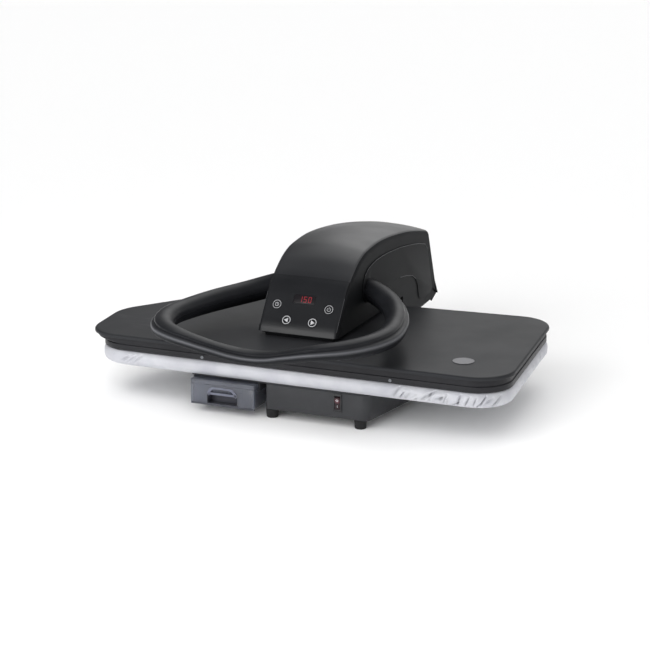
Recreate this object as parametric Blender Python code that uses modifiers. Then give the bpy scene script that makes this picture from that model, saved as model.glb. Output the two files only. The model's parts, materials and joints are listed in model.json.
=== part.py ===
# Steam ironing press, closed: base with water tank, padded board, upper platen, arched head, loop handle.
# Metres, +Z up. X runs along the platen, Y runs back to the hinge, and the floor is at zero height.
# The pieces are laid out from the press's centre plane and front edge, then shifted together onto the origin.

import math

import bmesh
import bpy
from mathutils import Matrix, Vector

# Clearances
seat_gap = 0.0003
turn_gap = 0.0006
overrun = 0.006
merge_distance = 0.00001
round_sides = 24
small_sides = 16
corner_steps = 5

# Heights, from the floor up
foot_height = 0.015
tray_height = 0.0427
deck_thickness = 0.002
pad_height = 0.0265
guard_height = 0.0207
skin_height = 0.0055
plinth_height = 0.008

# Platen outline, seen from above, about the press's centre plane
tip_reach = 0.360
tip_slant = 0.013
tip_depth = 0.152
shoulder_reach = 0.230
shoulder_depth = 0.338
heel_reach = 0.393
heel_slant = 0.041
platen_depth = 0.381
tip_front_radius = 0.062
tip_rear_radius = 0.080
shoulder_radius = 0.100
heel_rear_radius = 0.060
heel_front_radius = 0.062
nose_setback = 0.014
guard_inset = 0.004

# Base casing
casing_wall = 0.0025
front_setback = 0.012
front_half_width = 0.157
flare_half_width = 0.180
flare_depth = 0.150
casing_depth = 0.430
block_left = -0.022
bay_depth = 0.156
neck_half_width = 0.060
neck_depth = 0.516
front_corner_radius = 0.014
flare_radius = 0.060
rear_corner_radius = 0.040
neck_corner_radius = 0.012
bay_corner_radius = 0.004
deck_left_reach = 0.155

foot_radius = 0.0105
foot_toe_radius = 0.0095
foot_edge = 0.0012
front_foot_y = 0.022
right_foot_x = 0.141
middle_foot_x = -0.014
bay_foot_y = 0.176
rear_foot_y = 0.345
neck_foot_x = 0.045
neck_foot_y = 0.500

# Padded board
cover_thickness = 0.0015
cover_flap = 0.042
cover_tuck = 0.011
cover_crown = 0.0008
board_thickness = 0.002
board_inset = 0.012
foam_inset = 0.008
foam_edge = 0.003
board_boss_inset = 0.060

# Upper platen
guard_wall = 0.0026
guard_step = 0.002
guard_step_share = 0.46
guard_flare_share = 0.70
skin_wall = 0.0025
skin_round = 0.0035
skin_round_steps = 2
sole_thickness = 0.005
steam_hole_radius = 0.0025
steam_hole_columns = 9
steam_hole_rows = 3
steam_hole_spread_share = 0.66
steam_row_spread_share = 0.444
steam_hole_sides = 6
chamber_inset = 0.046
chamber_height = 0.0085
element_radius = 0.0032
element_reach_share = 0.25
element_depth_share = 0.205
element_bend_steps = 10
mat_thickness = 0.0024
mat_inset = 0.030
post_radius = 0.006
post_x = 0.040
post_front_y = 0.150
post_margin = 0.0005
disc_radius = 0.0175
disc_thickness = 0.0006
disc_x = 0.2934
disc_y = 0.0805
screw_head_radius = 0.0026
screw_head_height = 0.0009
screw_height = 0.0049
left_screw_x = -0.1313
right_screw_x = 0.1984

# Hinge, handle pivot and toggle link, seen from the side
hinge_y = 0.514
hinge_z = 0.1035
pivot_y = 0.224
pivot_z = 0.1745
anchor_y = 0.497
anchor_z = 0.1215
crank_length = 0.045
crank_angle = math.radians(-165)
hinge_pin_radius = 0.008
anchor_pin_radius = 0.005
crank_pin_radius = 0.005
shaft_radius = 0.008
link_half_thickness = 0.006
bar_steps = 12
link_eye_radius = 0.012
link_half_width = 0.007
link_slack = 0.0012
link_play = 0.0012
crank_thickness = 0.004
crank_hub_radius = 0.015
crank_eye_radius = 0.010
crank_pin_head = 0.001
pedestal_half_gap = 0.036
pedestal_thickness = 0.004
pedestal_eye_radius = 0.020
pedestal_front_y = 0.442
pedestal_rear_y = 0.512
pedestal_front_rise = 0.045
arm_inner_x = 0.046
arm_thickness = 0.004
arm_eye_radius = 0.020
arm_foot_half_width = 0.052
arm_foot_front_y = 0.135
arm_foot_overhang = 0.018
arm_foot_thickness = 0.004
arm_front_height = 0.034
arm_top_height = 0.080
arm_shoulder_y = 0.300
arm_belly_y = 0.410
arm_back_y = 0.430
arm_back_z = 0.182
arm_eye_start = math.radians(-130)
arm_eye_end = math.radians(60)
eye_steps = 8
tie_bar_radius = 0.006
front_tie_y = 0.170
front_tie_z = 0.135
rear_tie_y = 0.392
rear_tie_z = 0.176
bush_wall = 0.003
collar_length = 0.004
collar_wall = 0.004
spring_turns = 4
spring_wire_radius = 0.0013
spring_half_gap = 0.010
spring_length = 0.022
spring_points_a_turn = 10

# Head housing and fascia, seen from the side
hood_half_width = 0.0715
hood_wall = 0.003
hood_edge_radius = 0.007
hood_crown = 0.0100
hood_front_y = 0.090
panel_low_y = 0.0930
panel_low_z = 0.1316
panel_high_y = 0.1281
panel_high_z = 0.1815
hood_points = ((0.141, 0.1960), (0.151, 0.2043), (0.163, 0.2132), (0.185, 0.2270), (0.208, 0.2362),
               (0.230, 0.2405), (0.276, 0.2440), (0.322, 0.2425), (0.370, 0.2380), (0.420, 0.2315),
               (0.470, 0.2220), (0.512, 0.2125), (0.519, 0.2075))
hood_crown_shares = (0.10, 0.20, 0.35, 0.60, 0.80, 0.95, 1.0, 1.0, 1.0, 1.0, 0.95, 0.80, 0.70)
hood_rear_crown_share = 0.18
hood_mitre_share = 0.5
hood_across_shares = (0, 0.35, 0.7)
hood_edge_steps = 3
fascia_top_index = 1
hood_rear_y = 0.566
hood_rear_z = 0.0850
hood_heel_y = 0.540
hood_heel_z = 0.0745
hood_step_y = 0.388
plinth_recess = 0.009
plinth_wall = 0.003
plinth_lip = 0.002
plinth_overhang = 0.027
plinth_radius = 0.014
flank_thickness = 0.0012
flank_points = ((0.198, 0.178), (0.202, 0.162), (0.215, 0.153), (0.250, 0.154), (0.310, 0.162),
                (0.345, 0.1625), (0.372, 0.160), (0.402, 0.156), (0.432, 0.149), (0.448, 0.140),
                (0.458, 0.125), (0.464, 0.104), (0.472, 0.097), (0.524, 0.096), (0.533, 0.104),
                (0.505, 0.182), (0.494, 0.193), (0.462, 0.201), (0.430, 0.2065), (0.371, 0.2145),
                (0.314, 0.2185), (0.286, 0.2190), (0.258, 0.2175), (0.240, 0.2152), (0.221, 0.2105),
                (0.207, 0.2020), (0.200, 0.1910))

# Keys, display and board behind the fascia
key_radius = 0.0076
key_proud = 0.0006
key_flange = 0.0010
key_flange_thickness = 0.0010
key_edge = 0.0004
lower_key_x = 0.0232
lower_key_rise = 0.0129
upper_key_x = 0.0465
upper_key_rise = 0.0386
window_rise = 0.0518
window_half_width = 0.019
window_half_height = 0.0075
window_thickness = 0.0015
board_half_width = 0.056
board_rise_low = 0.004
board_rise_high = 0.061
circuit_depth = 0.0060
circuit_thickness = 0.0016
standoff_radius = 0.002
standoff_margin = 0.005

# Loop handle: right half of its centre line, from the pivot round to the middle of the front bar
grip_half_width = 0.0195
groove_depth = 0.0020
groove_half_height = 0.0010
core_radius = 0.0065
handle_root_x = 0.0740
handle_points = ((0.1045, 0.211, 0.1650), (0.1350, 0.181, 0.1580), (0.1640, 0.122, 0.1560),
                 (0.1810, 0.062, 0.1560), (0.1870, 0.012, 0.1570), (0.1790, -0.038, 0.1585),
                 (0.1560, -0.080, 0.1590), (0.1200, -0.103, 0.1570), (0.0800, -0.102, 0.1475),
                 (0.0400, -0.092, 0.1365), (0, -0.088, 0.1325))
grip_half_heights = (0.0190, 0.0195, 0.0190, 0.0185, 0.0175, 0.0170, 0.0160, 0.0145, 0.0125, 0.0115,
                     0.0110, 0.0110)
handle_steps = 2
shell_steps = 6
wrap_steps = 3

# Water tank
tank_left = -0.150
tank_right = -0.036
tank_front = -0.002
tank_bottom = 0.0135
tank_depth = 0.148
tank_wall = 0.0022
tank_face = 0.0030
tank_flange = 0.0035
tank_flange_height = 0.0020
tank_lid_height = 0.0072
lid_wall = 0.0020
tank_top = 0.0480
grip_half_span = 0.027
grip_low = 0.0035
grip_height = 0.0150
grip_arch = 0.0130
grip_slot_depth = 0.015
grip_arch_depth = 0.004
arch_steps = 10
filler_radius = 0.013
filler_setback = 0.034
filler_height = 0.0038
rail_web = 0.0022
rail_lip = 0.0028
valve_radius = 0.005
valve_x = -0.060
valve_z = 0.026
valve_nose_radius = 0.0035
valve_nose_length = 0.006
valve_seat_radius = 0.0065
valve_seat_length = 0.016

# Power switch
switch_x = 0.1052
switch_z = 0.0407
bezel_half_width = 0.0075
bezel_half_height = 0.0150
bezel_flange = 0.0015
bezel_body_half_width = 0.0063
bezel_body_half_height = 0.0137
bezel_body_depth = 0.0120
rocker_half_width = 0.0048
rocker_half_height = 0.0104
rocker_clearance = 0.0008
rocker_setback = 0.0016
rocker_end_rise = 0.0045
rocker_middle_rise = 0.0029
rocker_back = 0.0030
rocker_tilt = math.radians(8)

# Pump, hoses, terminal box and mains gland
pump_radius = 0.0155
pump_front_y = 0.214
pump_length = 0.060
hose_radius = 0.004
union_x = -0.022
union_half_width = 0.008
union_length = 0.014
union_height = 0.018
terminal_left = 0.060
terminal_right = 0.134
terminal_front = 0.240
terminal_rear = 0.330
terminal_height = 0.030
gland_x = 0.115
gland_z = 0.036
gland_radius = 0.0075
gland_collar_radius = 0.0105
gland_collar_length = 0.006
gland_body_length = 0.010
gland_bore_radius = 0.0036
pipe_radius = 0.003
pipe_x = 0.028
pipe_setback = 0.015
pipe_bend_z = 0.142
pipe_end_y = 0.440
pipe_end_z = 0.150

# Places along the platen's depth
steam_hole_pitch = (tip_reach + heel_reach) * steam_hole_spread_share / (steam_hole_columns - 1)
steam_row_pitch = shoulder_depth * steam_row_spread_share / (steam_hole_rows - 1)
sole_centre_y = shoulder_depth / 2
element_half_length = (tip_reach + heel_reach) * element_reach_share
element_half_depth = shoulder_depth * element_depth_share
rear_slope = (platen_depth - shoulder_depth) / (shoulder_reach + heel_reach - heel_slant)
rear_edge_at_posts = shoulder_depth + rear_slope * (shoulder_reach - post_x)
post_rear_y = rear_edge_at_posts - chamber_inset - post_radius - post_margin
pipe_start_y = post_rear_y - pipe_setback
arm_foot_rear_y = post_rear_y + arm_foot_overhang
plinth_rear_y = arm_foot_rear_y + plinth_overhang

# Levels that follow from the heights
tray_z = foot_height
deck_z = tray_z + tray_height + seat_gap
board_z = deck_z + deck_thickness + seat_gap
pad_top = board_z + pad_height
guard_z = pad_top + seat_gap
guard_top = guard_z + guard_height
skin_z = guard_top + seat_gap
skin_top = skin_z + skin_height
plinth_z = skin_top + seat_gap
hood_z = plinth_z + plinth_height + seat_gap
floor_inside = tray_z + casing_wall


def clear_scene():
    for old in list(bpy.data.objects):
        bpy.data.objects.remove(old, do_unlink=True)
    for old in list(bpy.data.collections):
        bpy.data.collections.remove(old)


clear_scene()
press = bpy.data.collections.new("steam_ironing_press")
cutters = bpy.data.collections.new("cutters")
bpy.context.scene.collection.children.link(press)
bpy.context.scene.collection.children.link(cutters)


def make_material(name, colour, roughness, metallic=0.0, alpha=1.0):
    material = bpy.data.materials.new(name)
    material.use_nodes = True
    shader = material.node_tree.nodes["Principled BSDF"]
    shader.inputs["Base Color"].default_value = (*colour, 1.0)
    shader.inputs["Roughness"].default_value = roughness
    shader.inputs["Metallic"].default_value = metallic
    shader.inputs["Alpha"].default_value = alpha
    return material


satin_black = make_material("satin_black_shell", (0.030, 0.030, 0.033), 0.42)
soft_black = make_material("soft_black_grip", (0.022, 0.022, 0.024), 0.50)
gloss_black = make_material("gloss_black_fascia", (0.012, 0.012, 0.014), 0.22)
charcoal = make_material("charcoal_casing", (0.045, 0.045, 0.048), 0.50)
smoke_clear = make_material("smoke_tank", (0.20, 0.21, 0.25), 0.15, 0.0, 0.6)
silver_cloth = make_material("silver_cloth", (0.58, 0.59, 0.63), 0.60)
foam = make_material("foam", (0.75, 0.72, 0.60), 0.90)
steel = make_material("zinc_steel", (0.50, 0.51, 0.53), 0.38, 1.0)
aluminium = make_material("cast_aluminium", (0.72, 0.73, 0.75), 0.35, 1.0)
spring_steel = make_material("spring_steel", (0.30, 0.30, 0.32), 0.35, 1.0)
rubber = make_material("rubber", (0.020, 0.020, 0.020), 0.80)
felt = make_material("felt", (0.42, 0.40, 0.36), 0.95)
board_green = make_material("circuit_board", (0.03, 0.16, 0.07), 0.50)
red_lens = make_material("red_lens", (0.55, 0.03, 0.04), 0.20)
dark_lens = make_material("dark_lens", (0.05, 0.008, 0.010), 0.12)
key_face = make_material("key_face", (0.05, 0.05, 0.055), 0.30)
plain_disc = make_material("plain_disc", (0.45, 0.46, 0.48), 0.35, 0.6)
hose_rubber = make_material("hose_rubber", (0.60, 0.60, 0.58), 0.55)


# Pivots: each moving piece hangs from an empty that stands on its joint's axis

def add_empty(name, place, parent=None, parent_place=Vector()):
    empty = bpy.data.objects.new(name, None)
    empty.empty_display_size = foot_height
    empty.location = Vector(place) - Vector(parent_place)
    empty.parent = parent
    press.objects.link(empty)
    return empty, Vector(place)


def hang(part, pivot):
    empty, place = pivot
    part.parent = empty
    part.matrix_parent_inverse = Matrix.Translation(-place)
    return part


def finish_mesh(name, mesh_builder, material, pivot):
    bmesh.ops.remove_doubles(mesh_builder, verts=mesh_builder.verts, dist=merge_distance)
    bmesh.ops.recalc_face_normals(mesh_builder, faces=mesh_builder.faces)
    mesh = bpy.data.meshes.new(name)
    mesh_builder.to_mesh(mesh)
    mesh_builder.free()
    part = bpy.data.objects.new(name, mesh)
    if material is None:
        cutters.objects.link(part)
        part.hide_render = True
        part.display_type = "WIRE"
        return part
    mesh.materials.append(material)
    mesh.shade_smooth()
    mesh.set_sharp_from_angle(angle=math.radians(30))
    press.objects.link(part)
    return hang(part, pivot)


def join_builders(builders):
    whole = bmesh.new()
    for builder in builders:
        mesh = bpy.data.meshes.new("piece")
        bmesh.ops.recalc_face_normals(builder, faces=builder.faces)
        builder.to_mesh(mesh)
        builder.free()
        whole.from_mesh(mesh)
        bpy.data.meshes.remove(mesh)
    return whole


# Shapes, each returned as a mesh builder in press coordinates

def block(low, high):
    builder = bmesh.new()
    low, high = Vector(low), Vector(high)
    bmesh.ops.create_cube(builder, size=1.0)
    size = high - low
    bmesh.ops.scale(builder, vec=size, verts=builder.verts)
    bmesh.ops.translate(builder, vec=(low + high) / 2, verts=builder.verts)
    return builder


def rod(start, end, radius, end_radius=None, sides=round_sides):
    builder = bmesh.new()
    start, end = Vector(start), Vector(end)
    along = end - start
    bmesh.ops.create_cone(builder, cap_ends=True, segments=sides, radius1=radius,
                          radius2=radius if end_radius is None else end_radius, depth=along.length)
    turn = along.to_track_quat("Z", "Y").to_matrix().to_4x4()
    bmesh.ops.transform(builder, matrix=Matrix.Translation((start + end) / 2) @ turn, verts=builder.verts)
    return builder


def turned(profile, place, direction, sides=round_sides):
    # A profile of (radius, height) pairs spun about a direction through a place
    mesh = bpy.data.meshes.new("profile")
    points = [(radius, 0, height) for radius, height in profile]
    on_axis = profile[0][0] == 0
    edges = [(i, i + 1) for i in range(len(points) - 1)]
    if not on_axis:
        edges.append((len(points) - 1, 0))
    mesh.from_pydata(points, edges, [])
    spun = bpy.data.objects.new("profile", mesh)
    bpy.context.scene.collection.objects.link(spun)
    screw = spun.modifiers.new("turn", "SCREW")
    screw.steps = sides
    screw.render_steps = sides
    screw.use_merge_vertices = True
    screw.merge_threshold = merge_distance
    builder = read_evaluated(spun)
    turn = Vector(direction).to_track_quat("Z", "Y").to_matrix().to_4x4()
    bmesh.ops.transform(builder, matrix=Matrix.Translation(place) @ turn, verts=builder.verts)
    return builder


def read_evaluated(source):
    # The evaluated shape of an object, which is then removed
    depsgraph = bpy.context.evaluated_depsgraph_get()
    mesh = bpy.data.meshes.new_from_object(source.evaluated_get(depsgraph), depsgraph=depsgraph)
    builder = bmesh.new()
    builder.from_mesh(mesh)
    bpy.data.meshes.remove(mesh)
    bpy.data.objects.remove(source, do_unlink=True)
    bmesh.ops.remove_doubles(builder, verts=builder.verts, dist=merge_distance)
    return builder


plate_frames = {
    "X": Matrix(((0, 0, 1, 0), (1, 0, 0, 0), (0, 1, 0, 0), (0, 0, 0, 1))),
    "Y": Matrix(((1, 0, 0, 0), (0, 0, -1, 0), (0, 1, 0, 0), (0, 0, 0, 1))),
    "Z": Matrix.Identity(4),
}


def plate(outlines, axis, low, high):
    # Flat outlines, the first one solid and the rest holes, given thickness from low to high along an axis
    curve = bpy.data.curves.new("outline", "CURVE")
    curve.dimensions = "2D"
    curve.fill_mode = "BOTH"
    curve.extrude = (high - low) / 2
    for outline in outlines:
        spline = curve.splines.new("POLY")
        spline.points.add(len(outline) - 1)
        for point, (across, up) in zip(spline.points, outline):
            point.co = (across, up, 0, 1)
        spline.use_cyclic_u = True
    flat = bpy.data.objects.new("outline", curve)
    bpy.context.scene.collection.objects.link(flat)
    builder = read_evaluated(flat)
    middle = Vector([(high + low) / 2 if axis == letter else 0 for letter in "XYZ"])
    bmesh.ops.transform(builder, matrix=Matrix.Translation(middle) @ plate_frames[axis], verts=builder.verts)
    return builder


def tube(points, radius, resolution=2):
    curve = bpy.data.curves.new("wire", "CURVE")
    curve.dimensions = "3D"
    curve.bevel_depth = radius
    curve.bevel_resolution = resolution
    curve.use_fill_caps = True
    spline = curve.splines.new("POLY")
    spline.points.add(len(points) - 1)
    for point, place in zip(spline.points, points):
        point.co = (*place, 1)
    wire = bpy.data.objects.new("wire", curve)
    bpy.context.scene.collection.objects.link(wire)
    return read_evaluated(wire)


def loft(rings, closed=False):
    # Rings with equal counts joined one to the next, capped at both ends or closed on themselves
    builder = bmesh.new()
    rows = [[builder.verts.new(point) for point in ring] for ring in rings]
    pairs = list(zip(rows, rows[1:]))
    if closed:
        pairs.append((rows[-1], rows[0]))
    else:
        builder.faces.new(rows[0])
        builder.faces.new(rows[-1])
    for first, second in pairs:
        count = len(first)
        for i in range(count):
            j = (i + 1) % count
            builder.faces.new((first[i], first[j], second[j], second[i]))
    return builder


def arc(centre, radius, start, end, steps):
    return [(centre[0] + radius * math.cos(start + (end - start) * i / steps),
             centre[1] + radius * math.sin(start + (end - start) * i / steps)) for i in range(steps + 1)]


def circle(centre, radius, sides=round_sides):
    return arc(centre, radius, 0, 2 * math.pi, sides)[:-1]


def rounded_outline(corners, inset=0.0, steps=corner_steps):
    # Corners as (x, y, radius), anticlockwise, drawn in by the inset; a concave corner's radius grows instead
    count = len(corners)
    edges = []
    for i in range(count):
        start = Vector(corners[i][:2])
        along = (Vector(corners[(i + 1) % count][:2]) - start).normalized()
        edges.append((start + Vector((-along.y, along.x)) * inset, along))
    outline = []
    for i in range(count):
        (start, before), (meet, after) = edges[i - 1], edges[i]
        cross = before.x * after.y - before.y * after.x
        apart = meet - start
        corner = start + before * ((apart.x * after.y - apart.y * after.x) / cross)
        turn = math.atan2(cross, before.dot(after))
        side = 1 if turn > 0 else -1
        radius = max(corners[i][2] - side * inset, merge_distance * 2)
        begin = corner - before * radius * math.tan(abs(turn) / 2)
        centre = begin + Vector((-before.y, before.x)) * radius * side
        spoke = begin - centre
        angle = math.atan2(spoke.y, spoke.x)
        outline += arc(centre, radius, angle, angle + turn, steps)
    return outline


def ring_at(outline, height):
    return [(x, y, height) for x, y in outline]


def subtract(part, builder, name):
    cutter = finish_mesh(name, builder, None, None)
    cut = part.modifiers.new(name, "BOOLEAN")
    cut.operation = "DIFFERENCE"
    cut.solver = "EXACT"
    cut.object = cutter
    hang(cutter, (part.parent, -part.matrix_parent_inverse.translation))
    return part


def combine(part, builder, name, operation="UNION"):
    subtract(part, builder, name)
    part.modifiers[-1].operation = operation
    return part


# Outlines that several pieces share

platen_corners = (
    (-(tip_reach - tip_slant), 0, tip_front_radius),
    (heel_reach, 0, heel_front_radius),
    (heel_reach - heel_slant, platen_depth, heel_rear_radius),
    (-shoulder_reach, shoulder_depth, shoulder_radius),
    (-tip_reach, tip_depth, tip_rear_radius),
)


def platen_outline(inset, setback=0.0):
    moved = [(x + (setback if index in (0, 4) else 0), y, radius)
             for index, (x, y, radius) in enumerate(platen_corners)]
    return rounded_outline(moved, inset)


def pad_outline(inset):
    return platen_outline(inset, nose_setback)


casing_right = (
    (front_half_width, front_setback, front_corner_radius),
    (flare_half_width, flare_depth, flare_radius),
    (flare_half_width, casing_depth, rear_corner_radius),
)
neck_corners = (
    (neck_half_width, casing_depth, neck_corner_radius),
    (neck_half_width, neck_depth, neck_corner_radius),
    (-neck_half_width, neck_depth, neck_corner_radius),
    (-neck_half_width, casing_depth, neck_corner_radius),
)
tray_corners = (
    (block_left, front_setback, bay_corner_radius),
    *casing_right,
    *neck_corners,
    (-flare_half_width, casing_depth, rear_corner_radius),
    (-flare_half_width, bay_depth, bay_corner_radius),
    (block_left, bay_depth, bay_corner_radius),
)
deck_corners = (
    (-deck_left_reach, front_setback, bay_corner_radius),
    *casing_right,
    (-flare_half_width, casing_depth, rear_corner_radius),
    (-flare_half_width, flare_depth, flare_radius),
)

crank_pin_y = pivot_y + crank_length * math.cos(crank_angle)
crank_pin_z = pivot_z + crank_length * math.sin(crank_angle)

# The panel's own directions: up its face, and out of it
panel_low = Vector((0, panel_low_y, panel_low_z))
panel_up = (Vector((0, panel_high_y, panel_high_z)) - panel_low).normalized()
panel_out = Vector((1, 0, 0)).cross(panel_up)
if panel_out.y > 0:
    panel_out = -panel_out


def on_panel(across, rise, depth=0.0):
    return panel_low + Vector((1, 0, 0)) * across + panel_up * rise - panel_out * depth


# The loop handle's centre line and its half heights, one smooth run from pivot to pivot

def smooth_path(points, steps):
    ends = [points[0] * 2 - points[1]] + points + [points[-1] * 2 - points[-2]]
    path = []
    for i in range(1, len(ends) - 2):
        before, start, end, after = ends[i - 1:i + 3]
        for j in range(steps):
            t = j / steps
            path.append((start * 2 + (end - before) * t
                         + (before * 2 - start * 5 + end * 4 - after) * t * t
                         + (start * 3 - before - end * 3 + after) * t * t * t) / 2)
    path.append(points[-1])
    return path


def handle_line():
    root = (handle_root_x, pivot_y, pivot_z)
    half = [Vector((*place, height)) for place, height in zip((root, *handle_points), grip_half_heights)]
    mirrored = [Vector((-p[0], p[1], p[2], p[3])) for p in reversed(half[:-1])]
    return smooth_path(half + mirrored, handle_steps)


grip_path = handle_line()
handle_front_y = min(point[1] for point in grip_path) - grip_half_width
skin_outline = platen_outline(0)
skin_left = min(x for x, y in skin_outline)
skin_right = max(x for x, y in skin_outline)
origin_shift = Vector((-(skin_left + skin_right) / 2, -(handle_front_y + hood_rear_y) / 2, 0))

press_frame, press_place = add_empty("press_frame", origin_shift)
base = (press_frame, Vector())
head = add_empty("head_hinge", (0, hinge_y, hinge_z), press_frame)
handle = add_empty("handle_pivot", (0, pivot_y, pivot_z), head[0], head[1])
link = add_empty("link_pivot", (0, anchor_y, anchor_z), press_frame)
tank = add_empty("tank_guide", ((tank_left + tank_right) / 2, tank_front, tank_bottom), press_frame)
rocker_y = front_setback + rocker_setback
rocker_pivot = add_empty("rocker_pivot", (switch_x, rocker_y, switch_z), press_frame)


# Base casing

def make_base_tray():
    rings = [
        ring_at(rounded_outline(tray_corners, casing_wall), floor_inside),
        ring_at(rounded_outline(tray_corners, casing_wall), tray_z + tray_height),
        ring_at(rounded_outline(tray_corners), tray_z + tray_height),
        ring_at(rounded_outline(tray_corners), tray_z + casing_wall),
        ring_at(rounded_outline(tray_corners, casing_wall / 2), tray_z),
    ]
    tray = finish_mesh("base_tray", loft(rings), charcoal, base)
    opening = block((switch_x - bezel_body_half_width - seat_gap, front_setback - overrun,
                     switch_z - bezel_body_half_height - seat_gap),
                    (switch_x + bezel_body_half_width + seat_gap, front_setback + overrun,
                     switch_z + bezel_body_half_height + seat_gap))
    subtract(tray, opening, "switch_opening")
    seat = rod((valve_x, bay_depth + casing_wall / 2, valve_z),
               (valve_x, bay_depth + valve_seat_length, valve_z), valve_seat_radius, sides=small_sides)
    combine(tray, seat, "valve_seat")
    bore = rod((valve_x, bay_depth - overrun, valve_z),
               (valve_x, bay_depth + valve_seat_length + overrun, valve_z), valve_nose_radius + turn_gap,
               sides=small_sides)
    subtract(tray, bore, "valve_bore")
    gland = rod((gland_x, casing_depth - casing_wall - overrun, gland_z),
                (gland_x, casing_depth + overrun, gland_z), gland_radius + seat_gap, sides=small_sides)
    subtract(tray, gland, "gland_opening")


def make_base_deck():
    # The lid of the casing, with two rails under it that carry the tank's flange
    outline = rounded_outline(deck_corners)
    deck = finish_mesh("base_deck", plate([outline], "Z", deck_z, deck_z + deck_thickness), charcoal, base)
    under = tank_top - tank_flange_height - turn_gap
    for name, edge, side in (("rail_left", tank_left, -1), ("rail_right", tank_right, 1)):
        near = edge + side * turn_gap
        far = near + side * rail_web
        inner = edge - side * (tank_flange - turn_gap)
        rail = [(far, under - rail_lip), (inner, under - rail_lip), (inner, under), (near, under),
                (near, deck_z + deck_thickness / 2), (far, deck_z + deck_thickness / 2)]
        combine(deck, plate([rail], "Y", front_setback + rail_web, bay_depth - seat_gap), name)


foot_places = {
    "foot_front_right": (right_foot_x, front_foot_y),
    "foot_front_middle": (middle_foot_x, front_foot_y),
    "foot_bay": (-right_foot_x, bay_foot_y),
    "foot_rear_left": (-right_foot_x, rear_foot_y),
    "foot_rear_right": (right_foot_x, rear_foot_y),
    "foot_neck_left": (-neck_foot_x, neck_foot_y),
    "foot_neck_right": (neck_foot_x, neck_foot_y),
}


def make_feet():
    top = tray_z - seat_gap
    profile = [(0, top), (foot_radius, top), (foot_toe_radius, foot_edge), (foot_toe_radius - foot_edge, 0),
               (0, 0)]
    for name, (x, y) in foot_places.items():
        finish_mesh(name, turned(profile, (x, y, 0), (0, 0, 1), small_sides), rubber, base)


# Padded board

def make_press_board():
    under = board_z + cover_thickness + seat_gap
    rings = [
        ring_at(pad_outline(board_boss_inset), board_z),
        ring_at(pad_outline(board_boss_inset), under),
        ring_at(pad_outline(board_inset), under),
        ring_at(pad_outline(board_inset), under + board_thickness),
    ]
    finish_mesh("press_board", loft(rings), steel, base)


def make_foam_pad():
    low = board_z + cover_thickness + board_thickness + 2 * seat_gap
    high = pad_top - cover_crown - cover_thickness - seat_gap
    rings = [
        ring_at(pad_outline(foam_inset), low),
        ring_at(pad_outline(foam_inset), high - foam_edge),
        ring_at(pad_outline(foam_inset + 2 * foam_edge), high),
    ]
    finish_mesh("foam_pad", loft(rings), foam, base)


cover_side_shares = ((0.90, 0.00), (0.42, 0.06), (0.10, 0.24), (0.00, 0.50), (0.10, 0.76), (0.45, 0.93))


def make_pad_cover():
    # Fabric over the pad: its sides swell out half way up, are drawn in below, and turn under the board
    def layer(offset):
        height = pad_height - cover_crown
        rings = [ring_at(pad_outline(cover_flap), board_z + offset)]
        for inset_share, height_share in cover_side_shares:
            inset = cover_tuck * inset_share * (1 - height_share / 2) + offset
            level = board_z + offset + (height - 2 * offset) * height_share
            rings.append(ring_at(pad_outline(inset), level))
        rings.append(ring_at(pad_outline(cover_tuck + offset), pad_top - cover_crown - offset))
        rings.append(ring_at(pad_outline(cover_flap), pad_top - offset))
        return rings
    rings = list(reversed(layer(cover_thickness))) + layer(0)
    finish_mesh("pad_cover", loft(rings), silver_cloth, base)


# Upper platen

def make_top_skin():
    def layer(offset):
        top = skin_top - offset
        rings = [ring_at(platen_outline(offset), skin_z)]
        for i in range(skin_round_steps + 1):
            angle = math.pi / 2 * i / skin_round_steps
            inset = skin_round * (1 - math.cos(angle)) + offset
            rings.append(ring_at(platen_outline(inset), top - skin_round * (1 - math.sin(angle))))
        return rings
    rings = list(reversed(layer(skin_wall))) + layer(0)
    skin = finish_mesh("top_skin", loft(rings), satin_black, head)
    holes = [rod((x, y, guard_top), (x, y, skin_top + overrun), post_radius + turn_gap, sides=small_sides)
             for x, y in post_places]
    subtract(skin, join_builders(holes), "skin_post_holes")
    pipe = rod((pipe_x, pipe_start_y, guard_top), (pipe_x, pipe_start_y, skin_top + overrun),
               pipe_radius + turn_gap, sides=small_sides)
    subtract(skin, pipe, "skin_pipe_hole")


post_places = [(x, y) for x in (-post_x, post_x) for y in (post_front_y, post_rear_y)]


def make_heat_guard():
    outer, upper = guard_inset, guard_inset + guard_step
    inner = upper + guard_wall
    step = guard_z + guard_height * guard_step_share
    flare = guard_z + guard_height * guard_flare_share
    rings = [
        ring_at(pad_outline(outer + guard_step / 2), guard_z),
        ring_at(pad_outline(outer), guard_z + guard_step / 2),
        ring_at(pad_outline(outer), step),
        ring_at(pad_outline(upper), step + guard_step / 2),
        ring_at(platen_outline(upper), flare),
        ring_at(platen_outline(upper), guard_top),
        ring_at(pad_outline(inner), guard_top),
        ring_at(pad_outline(inner), guard_z),
    ]
    finish_mesh("heat_guard", loft(rings, closed=True), charcoal, head)


sole_inset = guard_inset + guard_step + guard_wall + seat_gap


def make_soleplate():
    plate_body = plate([pad_outline(sole_inset)], "Z", guard_z, guard_z + sole_thickness)
    sole = finish_mesh("soleplate", plate_body, aluminium, head)
    holes = []
    for column in range(steam_hole_columns):
        for row in range(steam_hole_rows):
            x = (column - (steam_hole_columns - 1) / 2) * steam_hole_pitch
            y = sole_centre_y + (row - (steam_hole_rows - 1) / 2) * steam_row_pitch
            holes.append(rod((x, y, guard_z - overrun), (x, y, guard_z + sole_thickness + overrun),
                             steam_hole_radius, sides=steam_hole_sides))
    subtract(sole, join_builders(holes), "steam_holes")


chamber_z = guard_z + sole_thickness + seat_gap
chamber_top = chamber_z + chamber_height


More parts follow.
